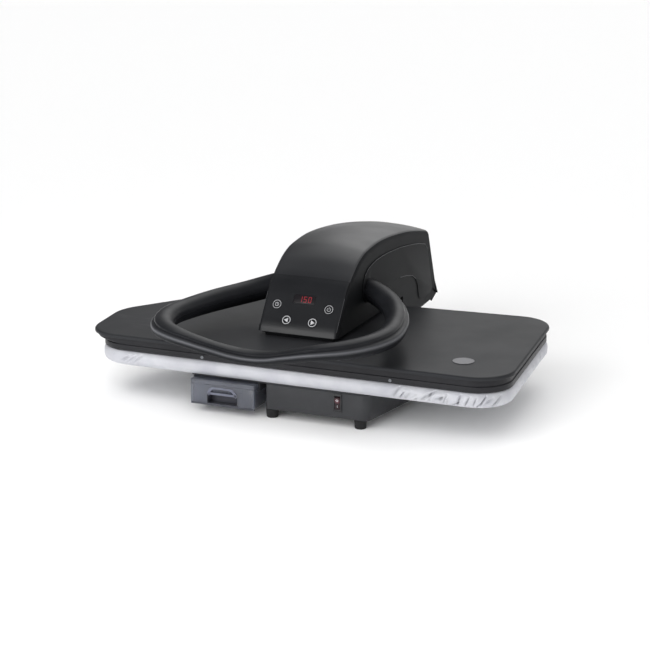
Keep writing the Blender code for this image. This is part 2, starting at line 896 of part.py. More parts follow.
def make_platen_inside():
    chamber = plate([pad_outline(chamber_inset)], "Z", chamber_z, chamber_top)
    body = finish_mesh("steam_chamber", chamber, aluminium, head)
    posts = [rod((x, y, (chamber_z + chamber_top) / 2), (x, y, skin_top), post_radius, sides=small_sides)
             for x, y in post_places]
    combine(body, join_builders(posts), "chamber_posts")
    level = chamber_top + seat_gap + element_radius
    front, rear = sole_centre_y - element_half_depth, sole_centre_y + element_half_depth
    bend = arc((element_half_length, sole_centre_y), element_half_depth, -math.pi / 2, math.pi / 2,
               element_bend_steps)
    run = [(-element_half_length, front)] + bend + [(-element_half_length, rear)]
    finish_mesh("heating_element", tube([(x, y, level) for x, y in run], element_radius, 1), steel, head)
    mat_top = skin_top - skin_wall - seat_gap
    holes = [circle(place, post_radius + turn_gap, small_sides) for place in post_places]
    holes.append(circle((pipe_x, pipe_start_y), pipe_radius + turn_gap, small_sides))
    mat = plate([platen_outline(mat_inset)] + holes, "Z", mat_top - mat_thickness, mat_top)
    finish_mesh("insulation_mat", mat, felt, head)


def make_platen_trim():
    disc = rod((disc_x, disc_y, skin_top + seat_gap), (disc_x, disc_y, skin_top + seat_gap + disc_thickness),
               disc_radius, sides=round_sides)
    finish_mesh("blank_disc", disc, plain_disc, head)
    height = guard_z + screw_height
    near = guard_inset - seat_gap
    for name, x in (("rim_screw_left", left_screw_x), ("rim_screw_right", right_screw_x)):
        screw = rod((x, near, height), (x, near - screw_head_height, height), screw_head_radius,
                    sides=small_sides)
        finish_mesh(name, screw, steel, head)


# Steel work: pedestal, hinge, arms and the toggle link

def both_sides(low, high):
    return [(-high, -low), (low, high)]


def make_pedestal():
    foot_low = floor_inside + seat_gap
    foot_high = foot_low + pedestal_thickness
    outer = pedestal_half_gap + pedestal_thickness
    foot = block((-outer, pedestal_front_y, foot_low), (outer, pedestal_rear_y, foot_high))
    pedestal = finish_mesh("pedestal", foot, steel, base)
    anchor_round = anchor_pin_radius + pedestal_thickness * 2
    outline = [(pedestal_front_y, foot_low), (pedestal_rear_y, foot_low), (pedestal_rear_y, deck_z)]
    outline += arc((hinge_y, hinge_z), pedestal_eye_radius, -math.pi / 4, math.pi / 2, eye_steps)
    outline += arc((anchor_y, anchor_z), anchor_round, math.pi / 3, math.pi, eye_steps)
    outline.append((pedestal_front_y, foot_high + pedestal_front_rise))
    holes = [circle((hinge_y, hinge_z), hinge_pin_radius + seat_gap),
             circle((anchor_y, anchor_z), anchor_pin_radius + seat_gap, small_sides)]
    for side, (low, high) in zip(("left", "right"), both_sides(pedestal_half_gap, outer)):
        combine(pedestal, plate([outline] + holes, "X", low, high), "pedestal_cheek_" + side)


def make_hinge():
    end = arm_inner_x + arm_thickness + turn_gap + collar_length
    near = end - collar_length
    collar = hinge_pin_radius + collar_wall
    profile = [(0, -end), (collar, -end), (collar, -near), (hinge_pin_radius, -near),
               (hinge_pin_radius, near), (collar, near), (collar, end), (0, end)]
    finish_mesh("hinge_pin", turned(profile, (0, hinge_y, hinge_z), (1, 0, 0)), steel, base)
    anchor_end = pedestal_half_gap + pedestal_thickness + seat_gap
    anchor = rod((-anchor_end, anchor_y, anchor_z), (anchor_end, anchor_y, anchor_z), anchor_pin_radius,
                 sides=small_sides)
    finish_mesh("link_anchor_pin", anchor, steel, base)
    inner = hinge_pin_radius + seat_gap
    outer = inner + bush_wall
    bush_low = pedestal_half_gap + pedestal_thickness + seat_gap
    for side, (low, high) in zip(("left", "right"), both_sides(bush_low, arm_inner_x - turn_gap)):
        profile = [(outer, high), (outer, low), (inner, low), (inner, high)]
        bush = turned(profile, (0, hinge_y, hinge_z), (1, 0, 0))
        finish_mesh("hinge_bush_" + side, bush, soft_black, base)


def make_lift_springs():
    # The coil's straight chords clear the pin, so its corners stand a little further out
    radius = (hinge_pin_radius + seat_gap + spring_wire_radius) / math.cos(math.pi / spring_points_a_turn)
    count = spring_turns * spring_points_a_turn
    for name, side in (("lift_spring_left", -1), ("lift_spring_right", 1)):
        points = []
        for i in range(count + 1):
            angle = 2 * math.pi * i / spring_points_a_turn
            x = side * (spring_half_gap + spring_length * i / count)
            points.append((x, hinge_y + radius * math.cos(angle), hinge_z + radius * math.sin(angle)))
        finish_mesh(name, tube(points, spring_wire_radius, 1), spring_steel, base)
    least_gap = spring_length / spring_turns - 2 * spring_wire_radius
    print("least gap between spring turns, m:", round(least_gap, 5))


arm_z = plinth_z + arm_foot_thickness / 2


def make_arms():
    # One welded frame: a foot on the platen, two arms back to the hinge, and bars tying the arms together
    foot = plate([[(-arm_foot_half_width, arm_foot_front_y), (arm_foot_half_width, arm_foot_front_y),
                   (arm_foot_half_width, arm_foot_rear_y), (-arm_foot_half_width, arm_foot_rear_y)],
                  circle((pipe_x, pipe_start_y), pipe_radius + turn_gap, small_sides)],
                 "Z", plinth_z, plinth_z + arm_foot_thickness)
    arms = finish_mesh("head_arms", foot, steel, head)
    over_plinth = hood_z + turn_gap
    outline = [(arm_foot_front_y + arm_thickness, arm_z), (arm_shoulder_y, arm_z),
               (arm_foot_rear_y, over_plinth), (arm_belly_y, over_plinth)]
    outline += arc((hinge_y, hinge_z), arm_eye_radius, arm_eye_start, arm_eye_end, eye_steps)
    outline += [(arm_back_y, arm_back_z), (arm_shoulder_y, arm_z + arm_top_height)]
    outline += [(pivot_y - arm_eye_radius, arm_z + arm_top_height),
                (arm_foot_front_y + arm_thickness, arm_z + arm_front_height)]
    holes = [circle((hinge_y, hinge_z), hinge_pin_radius + turn_gap),
             circle((pivot_y, pivot_z), shaft_radius + turn_gap)]
    for side, (low, high) in zip(("left", "right"), both_sides(arm_inner_x, arm_inner_x + arm_thickness)):
        combine(arms, plate([outline] + holes, "X", low, high), "arm_" + side)
    reach = arm_inner_x + arm_thickness / 2
    for name, y, z in (("front_tie", front_tie_y, front_tie_z), ("rear_tie", rear_tie_y, rear_tie_z)):
        combine(arms, rod((-reach, y, z), (reach, y, z), tie_bar_radius, sides=small_sides), name)


def bar_outline(first, first_radius, second, second_radius, half_width):
    # Two round eyes joined by a straight bar
    along = math.atan2(second[1] - first[1], second[0] - first[0])
    first_half = math.asin(half_width / first_radius)
    second_half = math.asin(half_width / second_radius)
    outline = arc(first, first_radius, along + first_half, along + 2 * math.pi - first_half, bar_steps)
    outline += arc(second, second_radius, along - math.pi + second_half,
                   along + math.pi - second_half, bar_steps)
    return outline


def make_toggle():
    crank_pin = (crank_pin_y, crank_pin_z)
    anchor = (anchor_y, anchor_z)
    bar = [bar_outline(crank_pin, link_eye_radius, anchor, link_eye_radius, link_half_width),
           circle(crank_pin, crank_pin_radius + link_slack),
           circle(anchor, anchor_pin_radius + turn_gap)]
    finish_mesh("toggle_link", plate(bar, "X", -link_half_thickness, link_half_thickness), steel, link)
    low = link_half_thickness + link_play
    cheek = [bar_outline((pivot_y, pivot_z), crank_hub_radius, crank_pin, crank_eye_radius, link_half_width),
             circle((pivot_y, pivot_z), shaft_radius + seat_gap)]
    end = low + crank_thickness
    pin = rod((-end - crank_pin_head, *crank_pin), (end + crank_pin_head, *crank_pin), crank_pin_radius)
    crank = finish_mesh("handle_crank", pin, steel, handle)
    for side, (start, stop) in zip(("left", "right"), both_sides(low, end)):
        combine(crank, plate(cheek, "X", start, stop), "crank_cheek_" + side)


# Loop handle

def handle_rings(section):
    # Sections of (across, up) shares of the half width and half height, stood square to the centre line
    rings = []
    count = len(grip_path)
    for i, point in enumerate(grip_path):
        place = point.xyz
        if i in (0, count - 1):
            along = Vector((1, 0, 0))
        else:
            along = (grip_path[i + 1].xyz - grip_path[i - 1].xyz).normalized()
        across = along.cross(Vector((0, 0, 1))).normalized()
        up = across.cross(along)
        rings.append([place + across * a + up * b for a, b in section(point[3])])
    return rings


def shell_section(side, half_height):
    # Half of an oval ring: the outer face runs down to a bevelled groove, the inner face wraps the core
    inner = core_radius + turn_gap
    edge = grip_half_width - groove_depth
    lift = groove_half_height + groove_depth
    start = math.asin(lift / half_height)
    outer = [(grip_half_width * math.cos(start + (math.pi - 2 * start) * i / shell_steps),
              half_height * math.sin(start + (math.pi - 2 * start) * i / shell_steps))
             for i in range(shell_steps + 1)]
    wrap_start = math.asin(groove_half_height / inner)
    wrap = [(inner * math.cos(math.pi - wrap_start - (math.pi - 2 * wrap_start) * i / wrap_steps),
             inner * math.sin(math.pi - wrap_start - (math.pi - 2 * wrap_start) * i / wrap_steps))
            for i in range(wrap_steps + 1)]
    loop = [(edge, groove_half_height)] + outer + [(-edge, groove_half_height)] + wrap
    return [(a, b * side) for a, b in loop]


def make_handle():
    top = handle_rings(lambda height: shell_section(1, height))
    finish_mesh("handle_top_shell", loft(top), soft_black, handle)
    bottom = handle_rings(lambda height: shell_section(-1, height))
    finish_mesh("handle_bottom_shell", loft(bottom), soft_black, handle)
    core = handle_rings(lambda height: circle((0, 0), core_radius, 2 * wrap_steps))
    finish_mesh("handle_core", loft(core), steel, handle)
    end = handle_root_x - seat_gap
    start = link_half_thickness + link_play
    for side, (low, high) in zip(("left", "right"), both_sides(start, end)):
        shaft = rod((low, pivot_y, pivot_z), (high, pivot_y, pivot_z), shaft_radius)
        finish_mesh("handle_shaft_" + side, shaft, steel, handle)


# Head housing: a crowned arch with flat sides, cut open below and in front for the fascia

def hood_profile(inset, crown, low_front):
    # Side outline drawn in by the inset, with the crown's share of each point added outwards
    points = [Vector((hood_front_y, low_front)), Vector((panel_low_y, panel_low_z)),
              Vector((panel_high_y, panel_high_z))]
    shares = [0, 0, 0]
    points += [Vector(point) for point in hood_points]
    shares += hood_crown_shares
    points += [Vector((hood_rear_y, hood_rear_z)), Vector((hood_heel_y, hood_heel_z))]
    shares += [hood_rear_crown_share, 0]
    profile = []
    for i, point in enumerate(points):
        before = (points[i] - points[i - 1]).normalized() if i else Vector((0, 1))
        after = (points[i + 1] - points[i]).normalized() if i < len(points) - 1 else before
        bisector = (before + after).normalized()
        outward = Vector((-bisector.y, bisector.x))
        mitre = max(outward.dot(Vector((-after.y, after.x))), hood_mitre_share)
        profile.append(point + outward * (crown * shares[i] - inset / mitre))
    profile[0] = Vector((hood_front_y + inset, low_front))
    profile[-1] = Vector((hood_heel_y, hood_heel_z + inset))
    return profile


def hood_stations(half_width, radius):
    # Places across the hood as (x, how far the profile is drawn in, crown share)
    right = []
    for i in range(hood_edge_steps + 1):
        angle = math.pi / 2 * i / hood_edge_steps
        x = half_width - radius + radius * math.sin(angle)
        right.append((x, radius * (1 - math.cos(angle))))
    inner = [(half_width - radius) * share for share in hood_across_shares]
    line = [(x, 0) for x in inner] + right
    stations = [(-x, inset) for x, inset in reversed(line[1:])] + line
    return [(x, inset, max(0, 1 - (x / half_width) ** 2)) for x, inset in stations]


def hood_solid(half_width, radius, inset, drop):
    rings = []
    for x, drawn_in, crown_share in hood_stations(half_width, radius):
        profile = hood_profile(inset + drawn_in, hood_crown * crown_share, hood_z)
        profile[0].y -= drop
        profile[-1].y = hood_heel_z - drop
        step_y = hood_step_y - drop
        lower = [Vector((step_y, hood_heel_z - drop)), Vector((step_y, hood_z - drop))]
        rings.append([(x, point.x, point.y) for point in profile + lower])
    return loft(rings)


def make_hood_shell(name, material):
    shell = finish_mesh(name, hood_solid(hood_half_width, hood_edge_radius, 0, 0), material, head)
    inside = hood_solid(hood_half_width - hood_wall, hood_edge_radius - hood_wall, hood_wall, overrun)
    subtract(shell, inside, name + "_inside")
    return shell


def fascia_region(gap):
    # Everything in front of a cut square to the arch at the fascia's top edge
    before, top, after = [Vector(point) for point in hood_points[fascia_top_index - 1:fascia_top_index + 2]]
    along = (after - before).normalized()
    outward = Vector((-along.y, along.x)) * (hood_wall + overrun)
    top = top + along * gap
    back = hood_wall + overrun
    outline = [(hood_front_y - overrun, hood_z - overrun), (top.x - outward.x + back, hood_z - overrun),
               tuple(top - outward), tuple(top + outward), (hood_front_y - overrun, top.y + outward.y)]
    reach = hood_half_width - hood_wall + gap
    return plate([outline], "X", -reach, reach)


key_places = {
    "key_down": (-lower_key_x, lower_key_rise),
    "key_up": (lower_key_x, lower_key_rise),
    "key_timer": (-upper_key_x, upper_key_rise),
    "key_power": (upper_key_x, upper_key_rise),
}


def panel_block(across, rise, half_width, half_height, near, far):
    # A block square to the panel's face, from one depth behind it to another
    builder = block((-half_width, -half_height, near), (half_width, half_height, far))
    frame = Matrix((Vector((1, 0, 0)), panel_up, -panel_out)).transposed().to_4x4()
    place = Matrix.Translation(on_panel(across, rise)) @ frame
    bmesh.ops.transform(builder, matrix=place, verts=builder.verts)
    return builder


def make_head_housing():
    hood = make_hood_shell("head_hood", satin_black)
    subtract(hood, fascia_region(seat_gap), "fascia_opening")
    reach = hood_half_width + overrun
    hole = rod((-reach, pivot_y, pivot_z), (reach, pivot_y, pivot_z), shaft_radius + turn_gap)
    subtract(hood, hole, "shaft_holes")
    fascia = make_hood_shell("control_fascia", gloss_black)
    combine(fascia, fascia_region(0), "fascia_part", "INTERSECT")
    holes = [rod(on_panel(x, rise, -overrun), on_panel(x, rise, hood_wall + overrun), key_radius + turn_gap)
             for x, rise in key_places.values()]
    holes.append(panel_block(0, window_rise, window_half_width + seat_gap, window_half_height + seat_gap,
                             -overrun, hood_wall + overrun))
    subtract(fascia, join_builders(holes), "key_holes")


def make_plinth():
    corners = (
        (-hood_half_width, hood_front_y, plinth_radius),
        (hood_half_width, hood_front_y, plinth_radius),
        (hood_half_width, plinth_rear_y, plinth_radius),
        (-hood_half_width, plinth_rear_y, plinth_radius),
    )
    top = plinth_z + plinth_height
    under = top - plinth_lip
    edge = hood_wall / 2
    inner = plinth_recess + plinth_wall
    rings = [
        ring_at(rounded_outline(corners, plinth_recess), plinth_z),
        ring_at(rounded_outline(corners, plinth_recess), under),
        ring_at(rounded_outline(corners, edge), under),
        ring_at(rounded_outline(corners, edge), top),
        ring_at(rounded_outline(corners, inner), top),
        ring_at(rounded_outline(corners, inner), plinth_z),
    ]
    finish_mesh("head_plinth", loft(rings, closed=True), satin_black, head)


def make_side_panels():
    # Thin raised panels on the housing's flat sides, round the handle's pivot and back to the rear seam
    hole = circle((pivot_y, pivot_z), shaft_radius + turn_gap)
    near = hood_half_width + seat_gap
    for side, (low_x, high_x) in zip(("left", "right"), both_sides(near, near + flank_thickness)):
        panel = plate([flank_points, hole], "X", low_x, high_x)
        finish_mesh("side_panel_" + side, panel, satin_black, head)


def make_controls():
    for name, (across, rise) in key_places.items():
        pivot = add_empty(name + "_guide", on_panel(across, rise), head[0], head[1])
        back = -(hood_wall + seat_gap)
        profile = [(0, key_proud), (key_radius - key_edge, key_proud), (key_radius, key_proud - key_edge),
                   (key_radius, back), (key_radius + key_flange, back),
                   (key_radius + key_flange, back - key_flange_thickness), (0, back - key_flange_thickness)]
        finish_mesh(name, turned(profile, on_panel(across, rise), panel_out, small_sides), key_face, pivot)
    lens = panel_block(0, window_rise, window_half_width, window_half_height, 0, window_thickness)
    finish_mesh("display_window", lens, dark_lens, head)
    middle = (board_rise_low + board_rise_high) / 2
    half_height = (board_rise_high - board_rise_low) / 2
    board = panel_block(0, middle, board_half_width, half_height, circuit_depth,
                        circuit_depth + circuit_thickness)
    circuit = finish_mesh("display_board", board, board_green, head)
    posts = []
    for across in (-(board_half_width - standoff_margin), board_half_width - standoff_margin):
        for rise in (board_rise_low + standoff_margin, board_rise_high - standoff_margin):
            posts.append(rod(on_panel(across, rise, hood_wall + seat_gap),
                             on_panel(across, rise, circuit_depth + circuit_thickness / 2), standoff_radius,
                             sides=8))
    combine(circuit, join_builders(posts), "board_standoffs")


# Water tank, which hangs by its flange from two rails under the deck

def make_tank():
    body_left, body_right = tank_left + tank_flange, tank_right - tank_flange
    rear = tank_front + tank_depth
    flange_z = tank_top - tank_flange_height
    body = block((body_left, tank_front, tank_bottom), (body_right, rear, tank_top))
    shell = finish_mesh("water_tank", body, smoke_clear, tank)
    flange = block((tank_left, tank_front, flange_z), (tank_right, rear, tank_top))
    combine(shell, flange, "tank_flange")
    face = block((tank_left, tank_front, tank_bottom), (tank_right, tank_front + tank_face, tank_top))
    combine(shell, face, "tank_face")
    cavity = block((body_left + tank_wall, tank_front + tank_wall, tank_bottom + tank_wall),
                   (body_right - tank_wall, rear - tank_wall, tank_top + overrun))
    hollow = finish_mesh("tank_cavity", cavity, None, None)
    middle = (tank_left + tank_right) / 2
    low = tank_bottom + grip_low
    slot_front = tank_front - overrun

    def grip(grow, slot_depth, arch_depth):
        reach, top = grip_half_span + grow, low + grip_height
        slot = block((middle - reach, slot_front, low - grow),
                     (middle + reach, tank_front + slot_depth, top + grow))
        rise = grip_arch + grow
        curve = [(middle + reach * math.cos(math.pi * i / arch_steps),
                  top + rise * math.sin(math.pi * i / arch_steps)) for i in range(arch_steps + 1)]
        outline = [(middle - reach, low - grow), (middle + reach, low - grow)] + curve
        arch = plate([outline], "Y", slot_front, tank_front + arch_depth)
        return slot, arch
    slot, arch = grip(tank_wall, grip_slot_depth + tank_wall, grip_arch_depth + tank_wall)
    for builder, name in ((slot, "grip_slot_wall"), (arch, "grip_arch_wall")):
        keep = finish_mesh(name, builder, None, None)
        spare = hollow.modifiers.new(name, "BOOLEAN")
        spare.operation = "DIFFERENCE"
        spare.object = keep
    hollow_mesh = read_evaluated(hollow)
    subtract(shell, hollow_mesh, "tank_hollow")
    slot, arch = grip(0, grip_slot_depth, grip_arch_depth)
    subtract(shell, slot, "grip_slot")
    subtract(shell, arch, "grip_arch")
    return middle, rear


def make_tank_fittings(middle, rear):
    lid_z = tank_top + seat_gap
    lid_top = lid_z + tank_lid_height
    lid = finish_mesh("tank_lid", block((tank_left, tank_front, lid_z), (tank_right, rear, lid_top)),
                      smoke_clear, tank)
    subtract(lid, block((tank_left + lid_wall, tank_front + lid_wall, lid_z - overrun),
                        (tank_right - lid_wall, rear - lid_wall, lid_top - lid_wall)), "lid_inside")
    filler_y = tank_front + filler_setback
    hole = rod((middle, filler_y, lid_z), (middle, filler_y, lid_top + overrun), filler_radius + seat_gap)
    subtract(lid, hole, "filler_hole")
    cap = rod((middle, filler_y, lid_top - lid_wall), (middle, filler_y, lid_top - lid_wall + filler_height),
              filler_radius)
    finish_mesh("filler_cap", cap, charcoal, tank)
    body_length = bay_depth - rear - 2 * seat_gap
    nose_length = body_length + casing_wall + valve_nose_length
    profile = [(0, 0), (valve_radius, 0), (valve_radius, body_length), (valve_nose_radius, body_length),
               (valve_nose_radius, nose_length), (0, nose_length)]
    valve = turned(profile, (valve_x, rear + seat_gap, valve_z), (0, 1, 0), small_sides)
    finish_mesh("tank_valve", valve, charcoal, tank)


# Power switch, pump, hoses, terminal box and mains gland

def make_switch():
    front = front_setback - seat_gap
    flange = block((switch_x - bezel_half_width, front - bezel_flange, switch_z - bezel_half_height),
                   (switch_x + bezel_half_width, front, switch_z + bezel_half_height))
    bezel = finish_mesh("switch_bezel", flange, gloss_black, base)
    body = block((switch_x - bezel_body_half_width, front - bezel_flange / 2,
                  switch_z - bezel_body_half_height),
                 (switch_x + bezel_body_half_width, front + bezel_body_depth,
                  switch_z + bezel_body_half_height))
    combine(bezel, body, "bezel_body")
    half_width = rocker_half_width + rocker_clearance / 2
    half_height = rocker_half_height + rocker_clearance
    window = block((switch_x - half_width, front - overrun, switch_z - half_height),
                   (switch_x + half_width, front + bezel_body_depth + overrun, switch_z + half_height))
    subtract(bezel, window, "bezel_window")
    outline = [(-rocker_end_rise, -rocker_half_height), (-rocker_middle_rise, 0),
               (-rocker_end_rise, rocker_half_height), (rocker_back, rocker_half_height - rocker_clearance),
               (rocker_back, -rocker_half_height + rocker_clearance)]
    tilted = []
    for y, z in outline:
        tilted.append((rocker_y + y * math.cos(rocker_tilt) - z * math.sin(rocker_tilt),
                       switch_z + y * math.sin(rocker_tilt) + z * math.cos(rocker_tilt)))
    rocker = plate([tilted], "X", switch_x - rocker_half_width, switch_x + rocker_half_width)
    finish_mesh("rocker", rocker, red_lens, rocker_pivot)


def make_pump_and_wiring():
    axis_z = floor_inside + seat_gap + pump_radius
    pump_rear = pump_front_y + pump_length
    pump = rod((valve_x, pump_front_y, axis_z), (valve_x, pump_rear, axis_z), pump_radius)
    finish_mesh("pump", pump, charcoal, base)
    start = Vector((valve_x, bay_depth + valve_seat_length + seat_gap, valve_z))
    end = Vector((valve_x, pump_front_y - seat_gap, axis_z))
    run = (end.y - start.y) / 3
    line = [start, start + Vector((0, run, 0)), end - Vector((0, run, 0)), end]
    finish_mesh("suction_hose", tube(line, hose_radius), hose_rubber, base)
    union_z = floor_inside + pedestal_thickness + 2 * seat_gap
    union_y = pedestal_front_y + pedestal_thickness
    union = block((union_x - union_half_width, union_y, union_z),
                  (union_x + union_half_width, union_y + union_length, union_z + union_height))
    start = Vector((valve_x, pump_rear + seat_gap, axis_z))
    end = Vector((union_x, union_y + union_length / 2, union_z + union_height / 2))
    run = (end.y - start.y) / 4
    stub = start + Vector((0, hose_radius, 0))
    line = [start] + smooth_path([stub, stub + Vector((0, run, 0)), end - Vector((0, run, 0)), end], 3)
    hose = finish_mesh("steam_supply_hose", tube(line, hose_radius), hose_rubber, base)
    combine(hose, union, "hose_union")
    low = floor_inside + seat_gap
    box = block((terminal_left, terminal_front, low), (terminal_right, terminal_rear, low + terminal_height))
    finish_mesh("terminal_box", box, soft_black, base)
    wall_inner = -casing_wall - gland_body_length
    profile = [(gland_collar_radius, gland_collar_length), (gland_collar_radius, seat_gap),
               (gland_radius, seat_gap), (gland_radius, wall_inner), (gland_bore_radius, wall_inner),
               (gland_bore_radius, gland_collar_length)]
    gland = turned(profile, (gland_x, casing_depth, gland_z), (0, 1, 0), small_sides)
    finish_mesh("mains_gland", gland, rubber, base)


def make_steam_pipe():
    line = [Vector((pipe_x, pipe_start_y, chamber_top + seat_gap)),
            Vector((pipe_x, pipe_start_y, pipe_bend_z - post_radius)),
            Vector((pipe_x, pipe_start_y + post_radius, pipe_bend_z)),
            Vector((pipe_x, pipe_end_y, pipe_end_z))]
    finish_mesh("steam_pipe", tube(line, pipe_radius), steel, head)


make_base_tray()
make_base_deck()
make_feet()
make_press_board()
make_foam_pad()
make_pad_cover()
make_top_skin()
make_heat_guard()
make_soleplate()
make_platen_inside()
make_platen_trim()
make_pedestal()
make_hinge()
make_lift_springs()
make_arms()
make_toggle()
make_handle()
make_head_housing()
make_plinth()
make_side_panels()
make_controls()
tank_middle, tank_rear = make_tank()
make_tank_fittings(tank_middle, tank_rear)
make_switch()
make_pump_and_wiring()
make_steam_pipe()

for label, spot in (("head hinge", head[1]), ("handle pivot", handle[1]), ("link pivot", link[1]),
                    ("rocker pivot", rocker_pivot[1]), ("panel outward", panel_out)):
    moved = spot if label == "panel outward" else spot + origin_shift
    print(label, [round(value, 5) for value in moved])
print("origin shift", [round(value, 5) for value in origin_shift])
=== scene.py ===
import json
import math
import random

import bmesh
import bpy
from mathutils import Matrix, Vector
from mathutils.geometry import delaunay_2d_cdt

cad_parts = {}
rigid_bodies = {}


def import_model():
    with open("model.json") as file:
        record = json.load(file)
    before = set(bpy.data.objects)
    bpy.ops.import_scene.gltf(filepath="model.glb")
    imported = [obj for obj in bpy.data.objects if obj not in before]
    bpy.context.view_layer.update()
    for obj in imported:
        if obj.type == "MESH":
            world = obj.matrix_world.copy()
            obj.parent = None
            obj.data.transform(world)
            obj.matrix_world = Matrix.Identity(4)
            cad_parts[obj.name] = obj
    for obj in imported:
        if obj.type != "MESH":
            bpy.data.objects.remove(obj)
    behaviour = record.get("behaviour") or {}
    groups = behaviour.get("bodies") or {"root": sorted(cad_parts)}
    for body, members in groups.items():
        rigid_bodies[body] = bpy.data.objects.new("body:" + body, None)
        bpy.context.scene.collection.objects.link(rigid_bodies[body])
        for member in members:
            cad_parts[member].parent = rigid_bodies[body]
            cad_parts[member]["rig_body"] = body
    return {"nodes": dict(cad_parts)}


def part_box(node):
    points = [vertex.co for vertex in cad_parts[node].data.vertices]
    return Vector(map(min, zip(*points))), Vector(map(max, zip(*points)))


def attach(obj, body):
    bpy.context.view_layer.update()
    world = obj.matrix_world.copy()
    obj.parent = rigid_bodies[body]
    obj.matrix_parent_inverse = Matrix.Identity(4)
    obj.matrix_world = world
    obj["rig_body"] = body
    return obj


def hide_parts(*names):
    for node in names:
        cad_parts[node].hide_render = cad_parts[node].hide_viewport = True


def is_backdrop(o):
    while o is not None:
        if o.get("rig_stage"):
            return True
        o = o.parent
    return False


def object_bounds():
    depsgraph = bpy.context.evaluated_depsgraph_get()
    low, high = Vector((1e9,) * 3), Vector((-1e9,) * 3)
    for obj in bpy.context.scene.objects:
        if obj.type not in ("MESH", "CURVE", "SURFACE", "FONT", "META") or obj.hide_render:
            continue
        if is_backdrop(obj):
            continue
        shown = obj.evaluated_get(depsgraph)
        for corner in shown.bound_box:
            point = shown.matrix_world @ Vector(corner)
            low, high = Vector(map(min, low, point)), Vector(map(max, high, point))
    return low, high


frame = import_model()
nodes = frame["nodes"]
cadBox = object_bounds()
scene = bpy.context.scene
hoodBox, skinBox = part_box("head_hood"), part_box("top_skin")
midX, frontY = (hoodBox[0].x + hoodBox[1].x) / 2, skinBox[0].y
print("frame loaded:", len(nodes), "nodes")


def at(x, y, z=0.0):  # a place measured from the press's middle plane and its front edge
    return Vector((midX + x, frontY + y, z))


# Places that several pieces share
gripAxis = (0.224, 0.1745)  # depth and height of the axis that the handle turns on
switchX = 0.1052

# Camera, as the photograph was taken: a long lens from the front right, a little above the press
camera = bpy.data.objects.new("camera", bpy.data.cameras.new("camera"))
scene.collection.objects.link(camera)
camera.data.sensor_width = 36
camera.data.lens = 123.58
camera.location = (1.40525, -3.35617, 1.1259)
camera.rotation_euler = (math.radians(74.35), 0, math.radians(23))
scene.camera = camera


materials = {}


# Small tools for colour and nodes
def hexColour(text):
    channels = [int(text[i:i + 2], 16) / 255 for i in (0, 2, 4)]
    return [c / 12.92 if c <= 0.04045 else ((c + 0.055) / 1.055) ** 2.4 for c in channels] + [1.0]


def setInputs(tree, node, inputs):  # sets a value, links a socket, and takes a node for its first output
    for key, value in inputs.items():
        if isinstance(value, bpy.types.Node):
            value = next(output for output in value.outputs if output.enabled)
        if isinstance(value, bpy.types.NodeSocket):
            tree.links.new(value, node.inputs[key])
        else:
            node.inputs[key].default_value = value
    return node


def addNode(tree, kind, inputs=None, **settings):
    node = tree.nodes.new(kind)
    for name, value in settings.items():
        setattr(node, name, value)
    return setInputs(tree, node, inputs or {})


def startMaterial(key, name, colour, roughness, values):
    material = bpy.data.materials.new(name)
    materials[key] = material
    material.use_nodes = True
    tree = material.node_tree
    shader = tree.nodes["Principled BSDF"]
    setInputs(tree, shader, {"Base Color": hexColour(colour), "Roughness": roughness, **values})
    place = addNode(tree, "ShaderNodeTexCoord").outputs["Object"]
    return tree, shader, place


def mottle(tree, shader, place, darker, lighter, millimetres):  # slow change of colour over the surface
    noise = addNode(tree, "ShaderNodeTexNoise", {"Vector": place, "Scale": 1000 / millimetres, "Detail": 3.0})
    ramp = addNode(tree, "ShaderNodeValToRGB", {"Fac": noise})
    for stop, position, colour in zip(ramp.color_ramp.elements, (0.3, 0.7), (darker, lighter)):
        stop.position, stop.color = position, hexColour(colour)
    setInputs(tree, shader, {"Base Color": ramp})
    return ramp


def smudge(tree, shader, place, low, high, millimetres):  # handling marks that change the gloss
    noise = addNode(tree, "ShaderNodeTexNoise", {"Vector": place, "Scale": 1000 / millimetres, "Detail": 4.0})
    span = addNode(tree, "ShaderNodeMapRange", {"Value": noise, "From Min": 0.35, "From Max": 0.65,
                                                "To Min": low, "To Max": high})
    setInputs(tree, shader, {"Roughness": span})


def grain(tree, shader, place, millimetres, depth, strength=0.5, cells=False):  # fine relief, its depth in mm
    pattern = addNode(tree, "ShaderNodeTexVoronoi" if cells else "ShaderNodeTexNoise",
                      {"Vector": place, "Scale": 1000 / millimetres})
    if not cells:
        pattern.inputs["Detail"].default_value = 2.0
    bump = addNode(tree, "ShaderNodeBump", {"Height": pattern, "Strength": strength,
                                            "Distance": depth / 1000})
    setInputs(tree, shader, {"Normal": bump})


def plainFinish(key, name, colour, roughness, values, tones, gloss=None, relief=None, cells=False):
    # The common recipe: two tones that change slowly, then marks in the gloss and a fine relief
    tree, shader, place = startMaterial(key, name, colour, roughness, values)
    mottle(tree, shader, place, *tones)
    if gloss:
        smudge(tree, shader, place, *gloss)
    if relief:
        grain(tree, shader, place, *relief, cells=cells)


